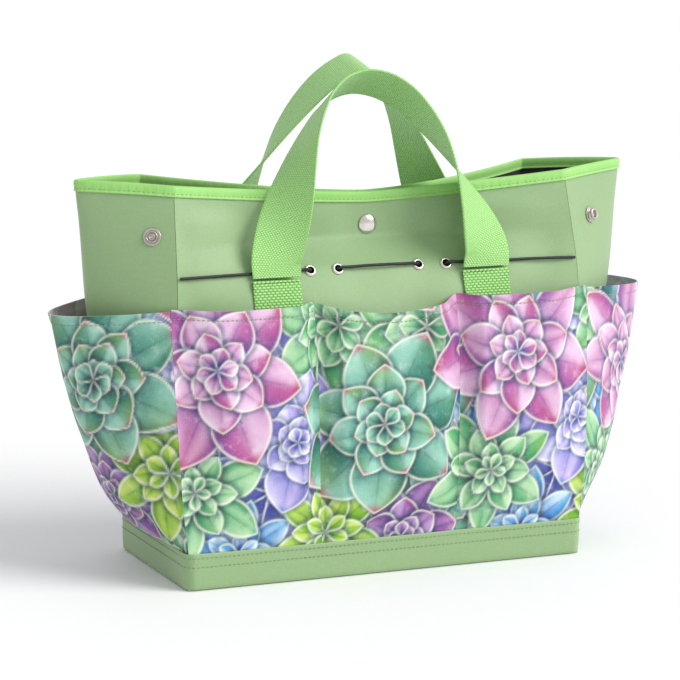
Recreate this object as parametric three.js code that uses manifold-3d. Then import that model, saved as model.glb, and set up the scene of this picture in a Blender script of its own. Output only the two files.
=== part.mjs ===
// Garden tool bag: a coated-fabric tote with a stiff base, outside pockets all round, a bound rim that is
// snapped together at its middle, two webbing handles and an elastic cord laced through four eyelets.
// Millimetres, +Z up. The origin is the middle of the base on the floor, and the front faces -Y.
import * as THREE from 'three';
import { mergeVertices } from 'three/addons/utils/BufferGeometryUtils.js';
import Module from 'manifold-3d';

const wasm = await Module();
wasm.setup();

// ---- driving dimensions -------------------------------------------------------------------------------
const GAP = 0.3;                 // clearance between separate pieces
const BASE_WIDTH = 305;
const BASE_DEPTH = 132;
const BAND_HEIGHT = 25.5;        // reinforcing band round the base
const BAND_THICK = 1.8;
const BOTTOM_THICK = 1.6;
const BOARD_THICK = 3;           // stiffener inside the bottom
const FABRIC = 1.6;              // body fabric with its coating
const PRINT = 1.2;               // pocket fabric
const WEBBING_WIDTH = 36;
const WEBBING = 1.8;
const BINDING_HEIGHT = 9;
const BINDING_THICK = 3.2;
const FOLD_Z = 220;              // the mouth flaps hinge outward about this level
const EYELET_Z = 212.5;
const STITCH_Z = 209;            // cross stitch where each handle leaves the body
const HANDLE_X = 80;             // middle of each handle foot
const TAIL_CLEAR = 1.3;          // the sewn webbing's stand-off, over the bends of the fabric
const TAIL_BOTTOM_Z = 118;       // lower end of the sewn webbing, inside the pockets
const DIVIDER_X = 54;            // seams between the front pockets
const POCKET_TOP_Z = 192;
const SNAP_Z = 240;
const EYELET_X = [-52, -31, 31, 52];
const CORD_RADIUS = 1;
const METAL_SEGMENTS = 14;

const wallBottom = BAND_HEIGHT + GAP;
const baseHalfX = BASE_WIDTH / 2;
const baseHalfY = BASE_DEPTH / 2;

// ---- materials ----------------------------------------------------------------------------------------
function paint(color, roughness, metalness = 0) {
  return new THREE.MeshStandardMaterial({ color, roughness, metalness });
}

const SAGE = paint(0x9cbd8b, 0.7);
const GREEN = paint(0x8fd06f, 0.65);
const PRINTED = paint(0xa9c6c4, 0.7);
const NICKEL = paint(0xd0ccc4, 0.25, 1);
const BLACK = paint(0x18191a, 0.8);
const BOARD = paint(0x2c2d2e, 0.8);

const bag = new THREE.Group();

function addPiece(name, geometry, material) {
  const mesh = new THREE.Mesh(geometry, material);
  mesh.name = name;
  bag.add(mesh);
  return mesh;
}

// ---- geometry helpers ---------------------------------------------------------------------------------

// Smooth curve through [position, value] knots (a cubic with slopes taken from the neighbouring knots).
function profile(knots) {
  const slope = knots.map((_, i) => {
    const a = knots[Math.max(i - 1, 0)];
    const b = knots[Math.min(i + 1, knots.length - 1)];
    return (b[1] - a[1]) / (b[0] - a[0]);
  });
  return (at) => {
    let i = 0;
    while (i < knots.length - 2 && at > knots[i + 1][0]) i += 1;
    const span = knots[i + 1][0] - knots[i][0];
    const t = THREE.MathUtils.clamp((at - knots[i][0]) / span, 0, 1);
    const h = t * t * (3 - 2 * t);
    return knots[i][1] * (1 - h) + knots[i + 1][1] * h
      + span * (slope[i] * t * (1 - t) ** 2 - slope[i + 1] * t * t * (1 - t));
  };
}

// Closed body lofted through rings of equal point count, each ring lying between an outer and an inner row.
function loftSheet(outerRows, innerRows) {
  const count = outerRows[0].length;
  const vertices = [];
  const indices = [];
  outerRows.forEach((row, v) => {
    for (const p of row) vertices.push(p.x, p.y, p.z);
    for (const p of [...innerRows[v]].reverse()) vertices.push(p.x, p.y, p.z);
  });
  const ring = 2 * count;
  for (let v = 0; v < outerRows.length - 1; v += 1) {
    for (let i = 0; i < ring; i += 1) {
      const a = v * ring + i;
      const b = v * ring + ((i + 1) % ring);
      indices.push(a, b, b + ring, a, b + ring, a + ring);
    }
  }
  const last = (outerRows.length - 1) * ring;
  for (let i = 0; i < count - 1; i += 1) {
    const j = ring - 1 - i;
    indices.push(i + 1, i, j, i + 1, j, j - 1);
    indices.push(last + i, last + i + 1, last + j - 1, last + i, last + j - 1, last + j);
  }
  const geometry = new THREE.BufferGeometry();
  geometry.setAttribute('position', new THREE.Float32BufferAttribute(vertices, 3));
  geometry.setIndex(indices);
  return facingOut(geometry);
}

// Turns every triangle over when the body encloses a negative volume.
function facingOut(geometry) {
  const p = geometry.attributes.position;
  const index = geometry.index.array;
  const [a, b, c] = [new THREE.Vector3(), new THREE.Vector3(), new THREE.Vector3()];
  let volume = 0;
  for (let i = 0; i < index.length; i += 3) {
    a.fromBufferAttribute(p, index[i]);
    b.fromBufferAttribute(p, index[i + 1]);
    c.fromBufferAttribute(p, index[i + 2]);
    volume += a.dot(b.cross(c));
  }
  if (volume < 0) {
    for (let i = 0; i < index.length; i += 3) [index[i], index[i + 1]] = [index[i + 1], index[i]];
  }
  return geometry;
}

// Sheet of fabric: surface(u, v) is its outer face, and thickness is laid on the side away from outward.
function sheet(surface, columns, rows, thickness, outward) {
  const step = 1e-3;
  const outerRows = [];
  const innerRows = [];
  for (let j = 0; j <= rows; j += 1) {
    const outer = [];
    const inner = [];
    for (let i = 0; i <= columns; i += 1) {
      const [u, v] = [i / columns, j / rows];
      const p = surface(u, v);
      const du = surface(u + step, v).sub(surface(u - step, v));
      const dv = surface(u, v + step).sub(surface(u, v - step));
      const normal = du.cross(dv).normalize();
      if (normal.dot(outward(p)) < 0) normal.negate();
      outer.push(p);
      inner.push(p.clone().addScaledVector(normal, -thickness));
    }
    outerRows.push(outer);
    innerRows.push(inner);
  }
  return loftSheet(outerRows, innerRows);
}

// Fabric with holes cut through it, each hole along its own direction.
function withHoles(geometry, holes) {
  if (holes.length === 0) return geometry;
  let solid = toManifold(geometry);
  for (const { at, along, radius } of holes) {
    const cutter = new THREE.CylinderGeometry(radius, radius, 8, 10);
    cutter.applyQuaternion(new THREE.Quaternion().setFromUnitVectors(new THREE.Vector3(0, 1, 0), along));
    cutter.translate(at.x, at.y, at.z);
    solid = solid.subtract(toManifold(cutter));
  }
  const { vertProperties, triVerts } = solid.getMesh();
  const result = new THREE.BufferGeometry();
  result.setAttribute('position', new THREE.BufferAttribute(new Float32Array(vertProperties), 3));
  result.setIndex(new THREE.BufferAttribute(new Uint32Array(triVerts), 1));
  return result;
}

function toManifold(geometry) {
  const bare = geometry.clone();
  bare.deleteAttribute('normal');
  bare.deleteAttribute('uv');
  const merged = mergeVertices(bare, 1e-4);
  return new wasm.Manifold(new wasm.Mesh({
    numProp: 3,
    vertProperties: new Float32Array(merged.attributes.position.array),
    triVerts: new Uint32Array(merged.index.array),
  }));
}

// Turned metal piece: the profile is [radius, height] pairs round a closed outline.
function turned(outline, place) {
  const points = outline.map(([r, h]) => new THREE.Vector2(r, h));
  const closed = outline[0][0] === 0 ? points : [...points, points[0]];
  const geometry = facingOut(new THREE.LatheGeometry(closed, METAL_SEGMENTS));
  const up = new THREE.Vector3(0, 1, 0);
  geometry.applyQuaternion(new THREE.Quaternion().setFromUnitVectors(up, place.normal));
  geometry.translate(place.at.x, place.at.y, place.at.z);
  return geometry;
}

// ---- shape of the body --------------------------------------------------------------------------------
// Each level has a front and a back middle, four corner seams and, on each side panel, an outermost crease.
// The middles meet at the snap, a little in front of the bag's own middle, so the back one goes below zero.
const seamX = profile([[25, 150.6], [110, 153.4], [192, 153.4], [276, 149.2]]);
const seamFrontY = profile([[25, 64], [110, 58], [192, 48], [212, 45], [274, 28]]);
const seamBackY = profile([[25, 64], [110, 59], [192, 51], [212, 48], [276, 38]]);
const middleFrontY = profile([
  [25, 64], [110, 62], [155, 58], [190, 50], [212, 39], [222, 28.5], [229, 21.5], [233, 18.4], [264, 18],
]);
const middleBackY = profile([
  [25, 64], [110, 62], [155, 57], [190, 45], [212, 27], [222, 9.5], [227.5, -1.5], [232.5, -8.6], [264, -9],
]);
const creaseX = profile([[25, 150.6], [60, 167], [110, 184], [192, 202], [277, 210]]);
const RIM_MIDDLE_Z = 263;
const RIM_SEAM_Z = 274;
const RIM_CREASE_Z = 277;

// across runs -1 to 1 from the left seam to the right seam; side is -1 for the front and 1 for the back.
function faceY(across, z, side) {
  const middleY = side < 0 ? middleFrontY(z) : middleBackY(z);
  const seamY = side < 0 ? seamFrontY(z) : seamBackY(z);
  return side * THREE.MathUtils.lerp(middleY, seamY, Math.abs(across) ** 1.8);
}

function facePoint(x, z, side) {
  return new THREE.Vector3(x, faceY(x / seamX(z), z, side), z);
}

const faceRimZ = (across) => THREE.MathUtils.lerp(RIM_MIDDLE_Z, RIM_SEAM_Z, Math.abs(across) ** 1.3);

// along runs -1 to 1 from the front seam round the crease to the back seam; side is -1 left, 1 right.
function flankPoint(along, z, side, proud = 0) {
  const creaseRound = 0.1;
  const fold = (Math.hypot(along, creaseRound) - creaseRound) / (Math.hypot(1, creaseRound) - creaseRound);
  const sharpness = THREE.MathUtils.mapLinear(THREE.MathUtils.clamp(z, 25, 277), 25, 277, 2, 1.05);
  const x = THREE.MathUtils.lerp(creaseX(z), seamX(z), fold ** sharpness) + proud;
  const y = along < 0 ? along * seamFrontY(z) : along * seamBackY(z);
  return new THREE.Vector3(side * x, y, z);
}

const flankRimZ = (along) => THREE.MathUtils.lerp(RIM_CREASE_Z, RIM_SEAM_Z, along * along);

const awayFromFace = (side) => () => new THREE.Vector3(0, side, 0);
const awayFromMiddle = (p) => new THREE.Vector3(p.x, 0, 0);

// Place on the outer face of the front, the back or a flank, with its outward normal.
function placeOnFace(x, z, side) {
  const step = 0.5;
  const du = facePoint(x + step, z, side).sub(facePoint(x - step, z, side));
  const dv = facePoint(x, z + step, side).sub(facePoint(x, z - step, side));
  const normal = du.cross(dv).normalize();
  if (normal.y * side < 0) normal.negate();
  return { at: facePoint(x, z, side), normal };
}

function placeOnFlank(along, z, side) {
  const step = 0.01;
  const du = flankPoint(along + step, z, side).sub(flankPoint(along - step, z, side));
  const dv = flankPoint(along, z + 1, side).sub(flankPoint(along, z - 1, side));
  const normal = du.cross(dv).normalize();
  if (normal.x * side < 0) normal.negate();
  return { at: flankPoint(along, z, side), normal };
}

const hole = (place, radius) => ({ at: place.at, along: place.normal, radius });

// ---- base ---------------------------------------------------------------------------------------------
function box(width, depth, height, x, y, bottom) {
  const geometry = new THREE.BoxGeometry(width, depth, height);
  geometry.translate(x, y, bottom + height / 2);
  return geometry;
}

function addBase() {
  const innerX = BASE_WIDTH - 2 * BAND_THICK - 2 * GAP;
  const innerY = BASE_DEPTH - 2 * BAND_THICK - 2 * GAP;
  addPiece('bottom_panel', box(innerX, innerY, BOTTOM_THICK, 0, 0, 0), SAGE);
  addPiece('base_board', box(innerX - 6, innerY - 6, BOARD_THICK, 0, 0, BOTTOM_THICK + GAP), BOARD);
  const endY = baseHalfY - BAND_THICK / 2;
  const endX = baseHalfX - BAND_THICK / 2;
  addPiece('band_front', box(BASE_WIDTH, BAND_THICK, BAND_HEIGHT, 0, -endY, 0), SAGE);
  addPiece('band_back', box(BASE_WIDTH, BAND_THICK, BAND_HEIGHT, 0, endY, 0), SAGE);
  addPiece('band_left', box(BAND_THICK, innerY, BAND_HEIGHT, -endX, 0, 0), SAGE);
  addPiece('band_right', box(BAND_THICK, innerY, BAND_HEIGHT, endX, 0, 0), SAGE);
}

// ---- body panels --------------------------------------------------------------------------------------
const SEAM_MARGIN = 2.4;         // how far a front or back panel stops short of the corner seam
const snapPlace = { front: placeOnFace(0, SNAP_Z, -1), back: placeOnFace(0, SNAP_Z, 1) };
const SHANK_HOLE = 1.9;
const EYELET_HOLE = 3.4;
const eyeletPlaces = EYELET_X.map((x) => placeOnFace(x, EYELET_Z, -1));

// Rows crowd towards the top as crowding grows past 1, because the fabric bends most there.
function faceSheet(side, bottom, topOf, columns, rows, crowding) {
  const surface = (u, v) => {
    const across = 2 * u - 1;
    const z = THREE.MathUtils.lerp(bottom, topOf(across), 1 - Math.max(1 - v, 0) ** crowding);
    const half = seamX(z) - SEAM_MARGIN;
    return facePoint(across * half, z, side);
  };
  return sheet(surface, columns, rows, FABRIC, awayFromFace(side));
}

function addFaces() {
  const lowerTop = () => FOLD_Z - GAP / 2;
  const upperTop = (across) => faceRimZ(across) - BINDING_HEIGHT - GAP;
  const eyeletHoles = eyeletPlaces.map((place) => hole(place, EYELET_HOLE));
  const lowerFront = faceSheet(-1, wallBottom, lowerTop, 12, 12, 1.8);
  addPiece('front_panel', withHoles(lowerFront, eyeletHoles), SAGE);
  addPiece('back_panel', faceSheet(1, wallBottom, lowerTop, 12, 13, 1.8), SAGE);
  for (const [name, side, place] of [['front', -1, snapPlace.front], ['back', 1, snapPlace.back]]) {
    const upper = faceSheet(side, FOLD_Z + GAP, upperTop, 12, 7, 1);
    addPiece(`${name}_mouth_flap`, withHoles(upper, [hole(place, SHANK_HOLE)]), SAGE);
  }
}

// How far from the crease towards a seam each side snap sits.
const SNAP_ALONG = { left: 0.8, right: 0.66 };
const sideSnaps = [
  { name: 'left_front', kind: 'socket', place: placeOnFlank(-SNAP_ALONG.left, SNAP_Z, -1) },
  { name: 'left_back', kind: 'stud', place: placeOnFlank(SNAP_ALONG.left, SNAP_Z, -1) },
  { name: 'right_front', kind: 'stud', place: placeOnFlank(-SNAP_ALONG.right, SNAP_Z, 1) },
  { name: 'right_back', kind: 'socket', place: placeOnFlank(SNAP_ALONG.right, SNAP_Z, 1) },
];

function addFlanks() {
  for (const [name, side] of [['left', -1], ['right', 1]]) {
    const surface = (u, v) => {
      const along = (2 * u - 1) * 0.985;
      const z = THREE.MathUtils.lerp(wallBottom, flankRimZ(along) - BINDING_HEIGHT - GAP, v);
      return flankPoint(along, z, side);
    };
    const geometry = sheet(surface, 14, 9, FABRIC, awayFromMiddle);
    const snaps = sideSnaps.filter((snap) => snap.name.startsWith(name));
    const holes = snaps.map((snap) => hole(snap.place, SHANK_HOLE));
    addPiece(`${name}_side_panel`, withHoles(geometry, holes), SAGE);
  }
}

// ---- rim binding --------------------------------------------------------------------------------------
function addBinding() {
  const proud = (BINDING_THICK - FABRIC) / 2;
  for (const [name, side] of [['front', -1], ['back', 1]]) {
    const surface = (u, v) => {
      const across = 2 * u - 1;
      const z = faceRimZ(across) - BINDING_HEIGHT * (1 - v);
      const p = facePoint(across * (seamX(z) - SEAM_MARGIN - 0.6), z, side);
      p.y += side * proud;
      return p;
    };
    addPiece(`binding_${name}`, sheet(surface, 20, 1, BINDING_THICK, awayFromFace(side)), GREEN);
  }
  for (const [name, side] of [['left', -1], ['right', 1]]) {
    const surface = (u, v) => {
      const along = (2 * u - 1) * 0.96;
      return flankPoint(along, flankRimZ(along) - BINDING_HEIGHT * (1 - v), side, proud);
    };
    addPiece(`binding_${name}`, sheet(surface, 16, 1, BINDING_THICK, awayFromMiddle), GREEN);
  }
}

// ---- pockets ------------------------------------------------------------------------------------------
const CORNER_X = 157.5;          // where a front pocket meets a side pocket, at the top
const POCKET_STANDOFF = 13;      // how far a pocket's middle stands off the body
const POCKET_SAG = 8;            // how far the middle pocket's top edge drops between its seams

function pocketRow(z) {
  const t = THREE.MathUtils.clamp((z - wallBottom) / (POCKET_TOP_Z - wallBottom), 0, 1);
  return Math.sin(Math.PI * Math.min(t * 0.72, 0.5)) ** 0.8;
}

function addFacePockets(label, side) {
  const spans = [
    ['left', -CORNER_X, -DIVIDER_X, 0],
    ['middle', -DIVIDER_X, DIVIDER_X, POCKET_SAG],
    ['right', DIVIDER_X, CORNER_X, 0],
  ];
  for (const [name, from, to, sag] of spans) {
    const surface = (u, v) => {
      const bow = Math.sin(Math.PI * THREE.MathUtils.clamp(u, 0, 1));
      const top = POCKET_TOP_Z - sag * bow;
      const z = THREE.MathUtils.lerp(wallBottom, top, v);
      const spread = (seamX(z) + 4 * v) / CORNER_X;
      const x = THREE.MathUtils.lerp(from, to, THREE.MathUtils.lerp(0.006, 0.994, u)) * spread;
      const stand = PRINT + GAP + POCKET_STANDOFF * pocketRow(z) * bow ** 0.7;
      return new THREE.Vector3(x, faceY(Math.min(Math.abs(x) / seamX(z), 1), z, side) + side * stand, z);
    };
    addPiece(`${label}_${name}_pocket`, sheet(surface, 10, 7, PRINT, awayFromFace(side)), PRINTED);
  }
}

const FLANK_POCKET_TOP_Z = 191;
const FLANK_POCKET_REACH = 70;   // how far the side pockets stand out past the corner seams, at the top

function addFlankPockets() {
  for (const [name, side, fullness] of [['left', -1, 0.5], ['right', 1, 0.3]]) {
    const surface = (u, v) => {
      const along = (2 * u - 1) * 0.985;
      const bulge = 1 - Math.abs(along) ** 1.8;
      const z = THREE.MathUtils.lerp(wallBottom, FLANK_POCKET_TOP_Z - 6 * bulge, v);
      const corner = seamX(z) + PRINT + 0.9 + 3.6 * v;
      const x = corner + FLANK_POCKET_REACH * Math.max(v, 0) ** fullness * bulge;
      const y = along * ((along < 0 ? seamFrontY(z) : seamBackY(z)) + 0.4);
      return new THREE.Vector3(side * x, y, z);
    };
    addPiece(`${name}_side_pocket`, sheet(surface, 16, 9, PRINT, awayFromMiddle), PRINTED);
  }
}

// ---- handles ------------------------------------------------------------------------------------------
// Half of each handle's centre line as [x, z] from the foot to the top of the arch. The arch leans to one
// side by sway at its top, and its webbing is tilted across its width there.
const HANDLES = [
  {
    label: 'front', side: -1, topY: -9, tilt: 33, sway: -2, top: 339,
    half: [
      [80, 209], [80.4, 221], [76.2, 238], [69.2, 258.5], [60.5, 280.5], [51.6, 299], [41.4, 314.5],
      [30.2, 327], [16.5, 335.6],
    ],
  },
  {
    label: 'back', side: 1, topY: 11, tilt: 12, sway: 2, top: 351,
    half: [
      [80, 209], [81, 222], [77, 242], [68, 262], [59, 281], [51, 297], [42, 312], [31.5, 326.5],
      [21, 338], [10, 346.5],
    ],
  },
];
const TWIST_BOTTOM_Z = 210;      // each strap turns on edge between these levels
const TWIST_TOP_Z = 346;
const STRAP_CLEAR = 3.2;         // room for the cord between the strap and the body
const FOOT_RISE = 1.3;           // the free strap starts this far above the cross stitch

function strapSections(path, widthAt, steps) {
  const outerRows = [];
  const innerRows = [];
  for (let i = 0; i <= steps; i += 1) {
    const t = i / steps;
    const at = path.getPoint(t);
    const tangent = path.getTangent(t);
    const across = widthAt(at, tangent, t);
    const normal = new THREE.Vector3().crossVectors(tangent, across).normalize();
    const corner = (w, n) => at.clone().addScaledVector(across, w * WEBBING_WIDTH / 2)
      .addScaledVector(normal, n * WEBBING / 2);
    outerRows.push([corner(-1, 1), corner(0, 1), corner(1, 1)]);
    innerRows.push([corner(-1, -1), corner(0, -1), corner(1, -1)]);
  }
  return loftSheet(outerRows, innerRows);
}

function addHandle({ label, side, topY, tilt, sway, half, top }) {
  const footY = facePoint(HANDLE_X, STITCH_Z, side).y + side * (WEBBING / 2 + STRAP_CLEAR);
  const rise = (z) => (z - STITCH_Z) / (top - STITCH_Z);
  const lean = (z) => THREE.MathUtils.lerp(footY, topY, rise(z) ** 2);
  const place = (x, z) => {
    const foot = z === STITCH_Z ? FOOT_RISE : 0;
    return new THREE.Vector3(x + sway * rise(z), lean(z), z + foot);
  };
  const left = half.map(([x, z]) => place(-x, z));
  const right = half.map(([x, z]) => place(x, z)).reverse();
  const path = new THREE.CatmullRomCurve3([...left, place(0, top), ...right], false, 'centripetal');
  const edgeTilt = THREE.MathUtils.degToRad(tilt);
  const widthAt = (at, tangent) => {
    const turn = THREE.MathUtils.smoothstep(at.z, TWIST_BOTTOM_Z, TWIST_TOP_Z) ** 0.66 * Math.PI / 2;
    const toLeft = at.x < 0 ? -1 : 1;
    const across = new THREE.Vector3(
      toLeft * Math.cos(turn),
      -side * Math.sin(turn) * Math.cos(edgeTilt),
      -Math.sin(turn) * Math.sin(edgeTilt),
    );
    return across.addScaledVector(tangent, -across.dot(tangent)).normalize();
  };
  addPiece(`${label}_handle`, strapSections(path, widthAt, 48), GREEN);
}

// The sewn lower end of each strap, flat on the body behind the pocket.
function addStrapTails(label, side) {
  for (const [name, x] of [['left', -HANDLE_X], ['right', HANDLE_X]]) {
    const surface = (u, v) => {
      const z = THREE.MathUtils.lerp(TAIL_BOTTOM_Z, STITCH_Z - GAP, v);
      const p = facePoint(x + (u - 0.5) * WEBBING_WIDTH, z, side);
      p.y += side * (WEBBING + TAIL_CLEAR);
      return p;
    };
    addPiece(`${label}_${name}_strap_tail`, sheet(surface, 2, 8, WEBBING, awayFromFace(side)), GREEN);
  }
}

// ---- snaps --------------------------------------------------------------------------------------------
const SNAP_RADIUS = 6.25;
const SHANK_RADIUS = 1.5;
const SEAT = 0.7;                // a snap's flange sits this far off the fabric's nominal face

// Domed cap with its shank through the fabric; height 0 is the fabric's outer face.
const capOutline = [
  [0, 2.4], [3, 2.2], [5.2, 1.6], [SNAP_RADIUS, 0.9], [SNAP_RADIUS, SEAT], [SHANK_RADIUS, SEAT],
  [SHANK_RADIUS, -FABRIC - 0.9], [0, -FABRIC - 0.9],
];
const flip = (place, depth) => ({
  at: place.at.clone().addScaledVector(place.normal, -depth),
  normal: place.normal.clone().negate(),
});

// Ring-shaped socket and nippled stud; height 0 is the fabric face that they sit on.
function socketOutline(height) {
  return [
    [2.4, SEAT], [5.6, SEAT], [5.6, SEAT + 0.4], [4.6, height * 0.7], [4.4, height], [2.6, height],
    [2.2, height * 0.7],
  ];
}

function studOutline(height) {
  return [
    [1.9, SEAT], [5.6, SEAT], [5.6, SEAT + 0.3], [3.2, SEAT + 0.4], [2.7, height * 0.7], [3, height * 0.85],
    [2.5, height], [1.9, height * 0.95],
  ];
}

function addCentreSnap() {
  const socketHeight = 1.9;
  const studHeight = 1.7;
  addPiece('snap_cap_front', turned(capOutline, snapPlace.front), NICKEL);
  addPiece('snap_cap_back', turned(capOutline, snapPlace.back), NICKEL);
  addPiece('snap_socket', turned(socketOutline(socketHeight), flip(snapPlace.front, FABRIC)), NICKEL);
  addPiece('snap_stud', turned(studOutline(studHeight), flip(snapPlace.back, FABRIC)), NICKEL);
}

// A side snap shows its socket or stud outside, and its cap and shank come through from inside.
function addSideSnaps() {
  for (const { name, kind, place } of sideSnaps) {
    const outline = kind === 'socket' ? socketOutline(2.6) : studOutline(4.2);
    addPiece(`side_${kind}_${name}`, turned(outline, place), NICKEL);
    addPiece(`side_cap_${name}`, turned(capOutline, flip(place, FABRIC)), NICKEL);
  }
}

// ---- eyelets and elastic cord -------------------------------------------------------------------------
const EYELET_RADIUS = 4.4;
const EYELET_BORE = 2.7;

function addEyelets() {
  const flange = 0.9;
  const back = -FABRIC - 0.8;
  eyeletPlaces.forEach((place, i) => {
    const eyelet = [
      [EYELET_BORE, back - 0.7], [EYELET_BORE + 0.4, back - 0.7], [EYELET_BORE + 0.4, GAP],
      [EYELET_RADIUS, GAP], [EYELET_RADIUS - 0.4, flange], [EYELET_BORE + 0.5, flange + 0.2],
      [EYELET_BORE, flange - 0.2],
    ];
    const washer = [
      [EYELET_BORE + 0.7, back], [EYELET_BORE + 0.7, back - 0.6], [EYELET_RADIUS, back - 0.6],
      [EYELET_RADIUS, back],
    ];
    addPiece(`eyelet_${i + 1}`, turned(eyelet, place), NICKEL);
    addPiece(`eyelet_washer_${i + 1}`, turned(washer, place), NICKEL);
  });
}

// The cord leaves the left seam, runs outside under the strap, dips in at each outer eyelet and out at each
// inner one, crosses the middle outside, and ends in the right seam.
function addElasticCord() {
  const outside = (x, off) => {
    const { at, normal } = placeOnFace(x, EYELET_Z, -1);
    return at.addScaledVector(normal, off);
  };
  const half = [
    outside(151, 1.5), outside(140, 2.2), outside(112, 2.2), outside(101, 1.7), outside(80, 1.5),
    outside(60, 1.7), outside(54, 2.4), outside(52.3, 1), outside(51.8, -1.6), outside(50.4, -4), outside(47, -5.2),
    outside(41.5, -5.6), outside(36, -5.2), outside(32.6, -4), outside(31.2, -1.6), outside(30.7, 1),
    outside(29, 2.4), outside(22, 2.5), outside(10, 3),
  ];
  const mirrored = [...half].reverse().map((p) => new THREE.Vector3(-p.x, p.y, p.z));
  const path = new THREE.CatmullRomCurve3([...half, ...mirrored], false, 'centripetal');
  const ring = new THREE.Shape().absarc(0, 0, CORD_RADIUS, 0, 2 * Math.PI, false);
  const options = { steps: 76, extrudePath: path, curveSegments: 4, bevelEnabled: false };
  addPiece('elastic_cord', new THREE.ExtrudeGeometry(ring, options), BLACK);
}

addBase();
addFaces();
addFlanks();
addBinding();
addFacePockets('front', -1);
addFacePockets('back', 1);
addFlankPockets();
for (const handle of HANDLES) {
  addHandle(handle);
  addStrapTails(handle.label, handle.side);
}
addCentreSnap();
addSideSnaps();
addEyelets();
addElasticCord();

export default bag;
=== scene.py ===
import math

import bmesh
import bpy
import numpy as np
from mathutils import Matrix, Vector


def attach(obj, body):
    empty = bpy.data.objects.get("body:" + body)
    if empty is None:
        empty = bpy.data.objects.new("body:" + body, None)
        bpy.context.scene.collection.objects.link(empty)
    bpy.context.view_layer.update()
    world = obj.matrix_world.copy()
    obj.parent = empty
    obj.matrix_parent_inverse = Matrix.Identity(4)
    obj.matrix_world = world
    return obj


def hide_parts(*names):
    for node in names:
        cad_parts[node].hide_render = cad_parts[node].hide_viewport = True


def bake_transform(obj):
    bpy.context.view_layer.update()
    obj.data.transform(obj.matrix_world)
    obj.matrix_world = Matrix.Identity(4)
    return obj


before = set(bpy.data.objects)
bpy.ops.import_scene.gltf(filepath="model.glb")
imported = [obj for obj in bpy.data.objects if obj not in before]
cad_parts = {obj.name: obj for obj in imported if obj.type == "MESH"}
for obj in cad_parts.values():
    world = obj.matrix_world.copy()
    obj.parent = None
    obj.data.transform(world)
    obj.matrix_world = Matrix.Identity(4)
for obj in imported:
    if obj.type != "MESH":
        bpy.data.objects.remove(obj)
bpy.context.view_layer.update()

MM = 0.001

# ---- driving dimensions, as in the frame ----
BASE_HALF_X, BASE_HALF_Y, BAND_HEIGHT = 152.5, 66.0, 25.5
FABRIC, PRINT, WEBBING, WEBBING_WIDTH = 0.9, 0.8, 1.6, 36.0
BINDING_HEIGHT, BINDING_THICK = 7.6, 3.2
STITCH_Z, EYELET_Z, SNAP_Z = 209.0, 212.5, 240.0
DIVIDER_X, CORNER_X, POCKET_TOP_Z = 54.0, 157.5, 192.0
EYELET_X = (-52, -31, 31, 52)
HINGE_Z = 209.5
SNAP_ALONG = {-1: 0.8, 1: 0.66}
WALL_BOTTOM = BAND_HEIGHT - 3


def profile(knots):
    """A smooth curve through (position, value) knots, as a function of an array of positions."""
    at = np.array([k[0] for k in knots], float)
    value = np.array([k[1] for k in knots], float)
    before = np.maximum(np.arange(len(at)) - 1, 0)
    after = np.minimum(np.arange(len(at)) + 1, len(at) - 1)
    slope = (value[after] - value[before]) / (at[after] - at[before])

    def curve(z):
        z = np.asarray(z, float)
        i = np.clip(np.searchsorted(at, z, side="left") - 1, 0, len(at) - 2)
        span = at[i + 1] - at[i]
        t = np.clip((z - at[i]) / span, 0, 1)
        h = t * t * (3 - 2 * t)
        bend = slope[i] * t * (1 - t) ** 2 - slope[i + 1] * t * t * (1 - t)
        return value[i] * (1 - h) + value[i + 1] * h + span * bend

    return curve


seam_x = profile([(25, 150.6), (110, 153.4), (192, 153.4), (276, 149.2)])
seam_front_y = profile([(25, 64), (110, 58), (192, 48), (212, 45), (274, 28)])
seam_back_y = profile([(25, 64), (110, 59), (192, 51), (212, 48), (276, 38)])
middle_front_y = profile([
    (25, 64), (110, 62), (155, 58), (190, 50), (212, 39), (222, 28.5), (229, 21.5), (233, 18.4), (264, 18),
])
middle_back_y = profile([
    (25, 64), (110, 62), (155, 57), (190, 45), (212, 27), (222, 9.5), (227.5, -1.5), (232.5, -8.6), (264, -9),
])
crease_x = profile([(25, 150.6), (60, 167), (110, 184), (192, 202), (277, 210)])
RIM_MIDDLE_Z, RIM_SEAM_Z, RIM_CREASE_Z = 263, 274, 277


def lerp(a, b, t):
    return a + (b - a) * t


def smooth(low, high, t):
    t = np.clip((t - low) / (high - low), 0, 1)
    return t * t * (3 - 2 * t)


def ripple(x, z, size, turn):
    """Soft uneven swell between about -1 and 1, with waves of about that size in millimetres."""
    a = np.sin((x * math.cos(turn) + z * math.sin(turn)) / size + 1.3 * turn)
    b = np.sin((z * math.cos(turn) - x * math.sin(turn)) / (size * 0.83) + 2.1 + turn)
    c = np.sin((x + z) / (size * 1.7) + 0.7 * turn)
    return (a * b + 0.5 * c) / 1.5


def face_depth(across, z, side):
    """How far the front or back panel stands from the bag's middle plane, without its folds."""
    middle_y = middle_front_y if side < 0 else middle_back_y
    seam_y = seam_front_y if side < 0 else seam_back_y
    return lerp(middle_y(z), seam_y(z), across ** 1.8)


def face_point(across, z, side):
    """Point on the front (side -1) or back (side 1) panel; across runs -1 to 1 between the corner seams."""
    z = np.asarray(z, float)
    x = across * seam_x(z)
    y = face_depth(np.abs(across), z, side)
    free = smooth(6, 30, np.hypot(x, (z - SNAP_Z))) * smooth(1.0, 0.88, np.abs(across)) * smooth(261, 247, z)
    swell = 2.0 * ripple(x, z, 24, 0.6 * side) + 0.9 * ripple(x, z, 11, 1.9)
    y = y + swell * free * smooth(150, 200, z)
    return np.stack([x, side * y, z + 0 * x], -1)


def face_rim_z(across):
    return lerp(RIM_MIDDLE_Z, RIM_SEAM_Z, np.abs(across) ** 1.3)


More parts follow.
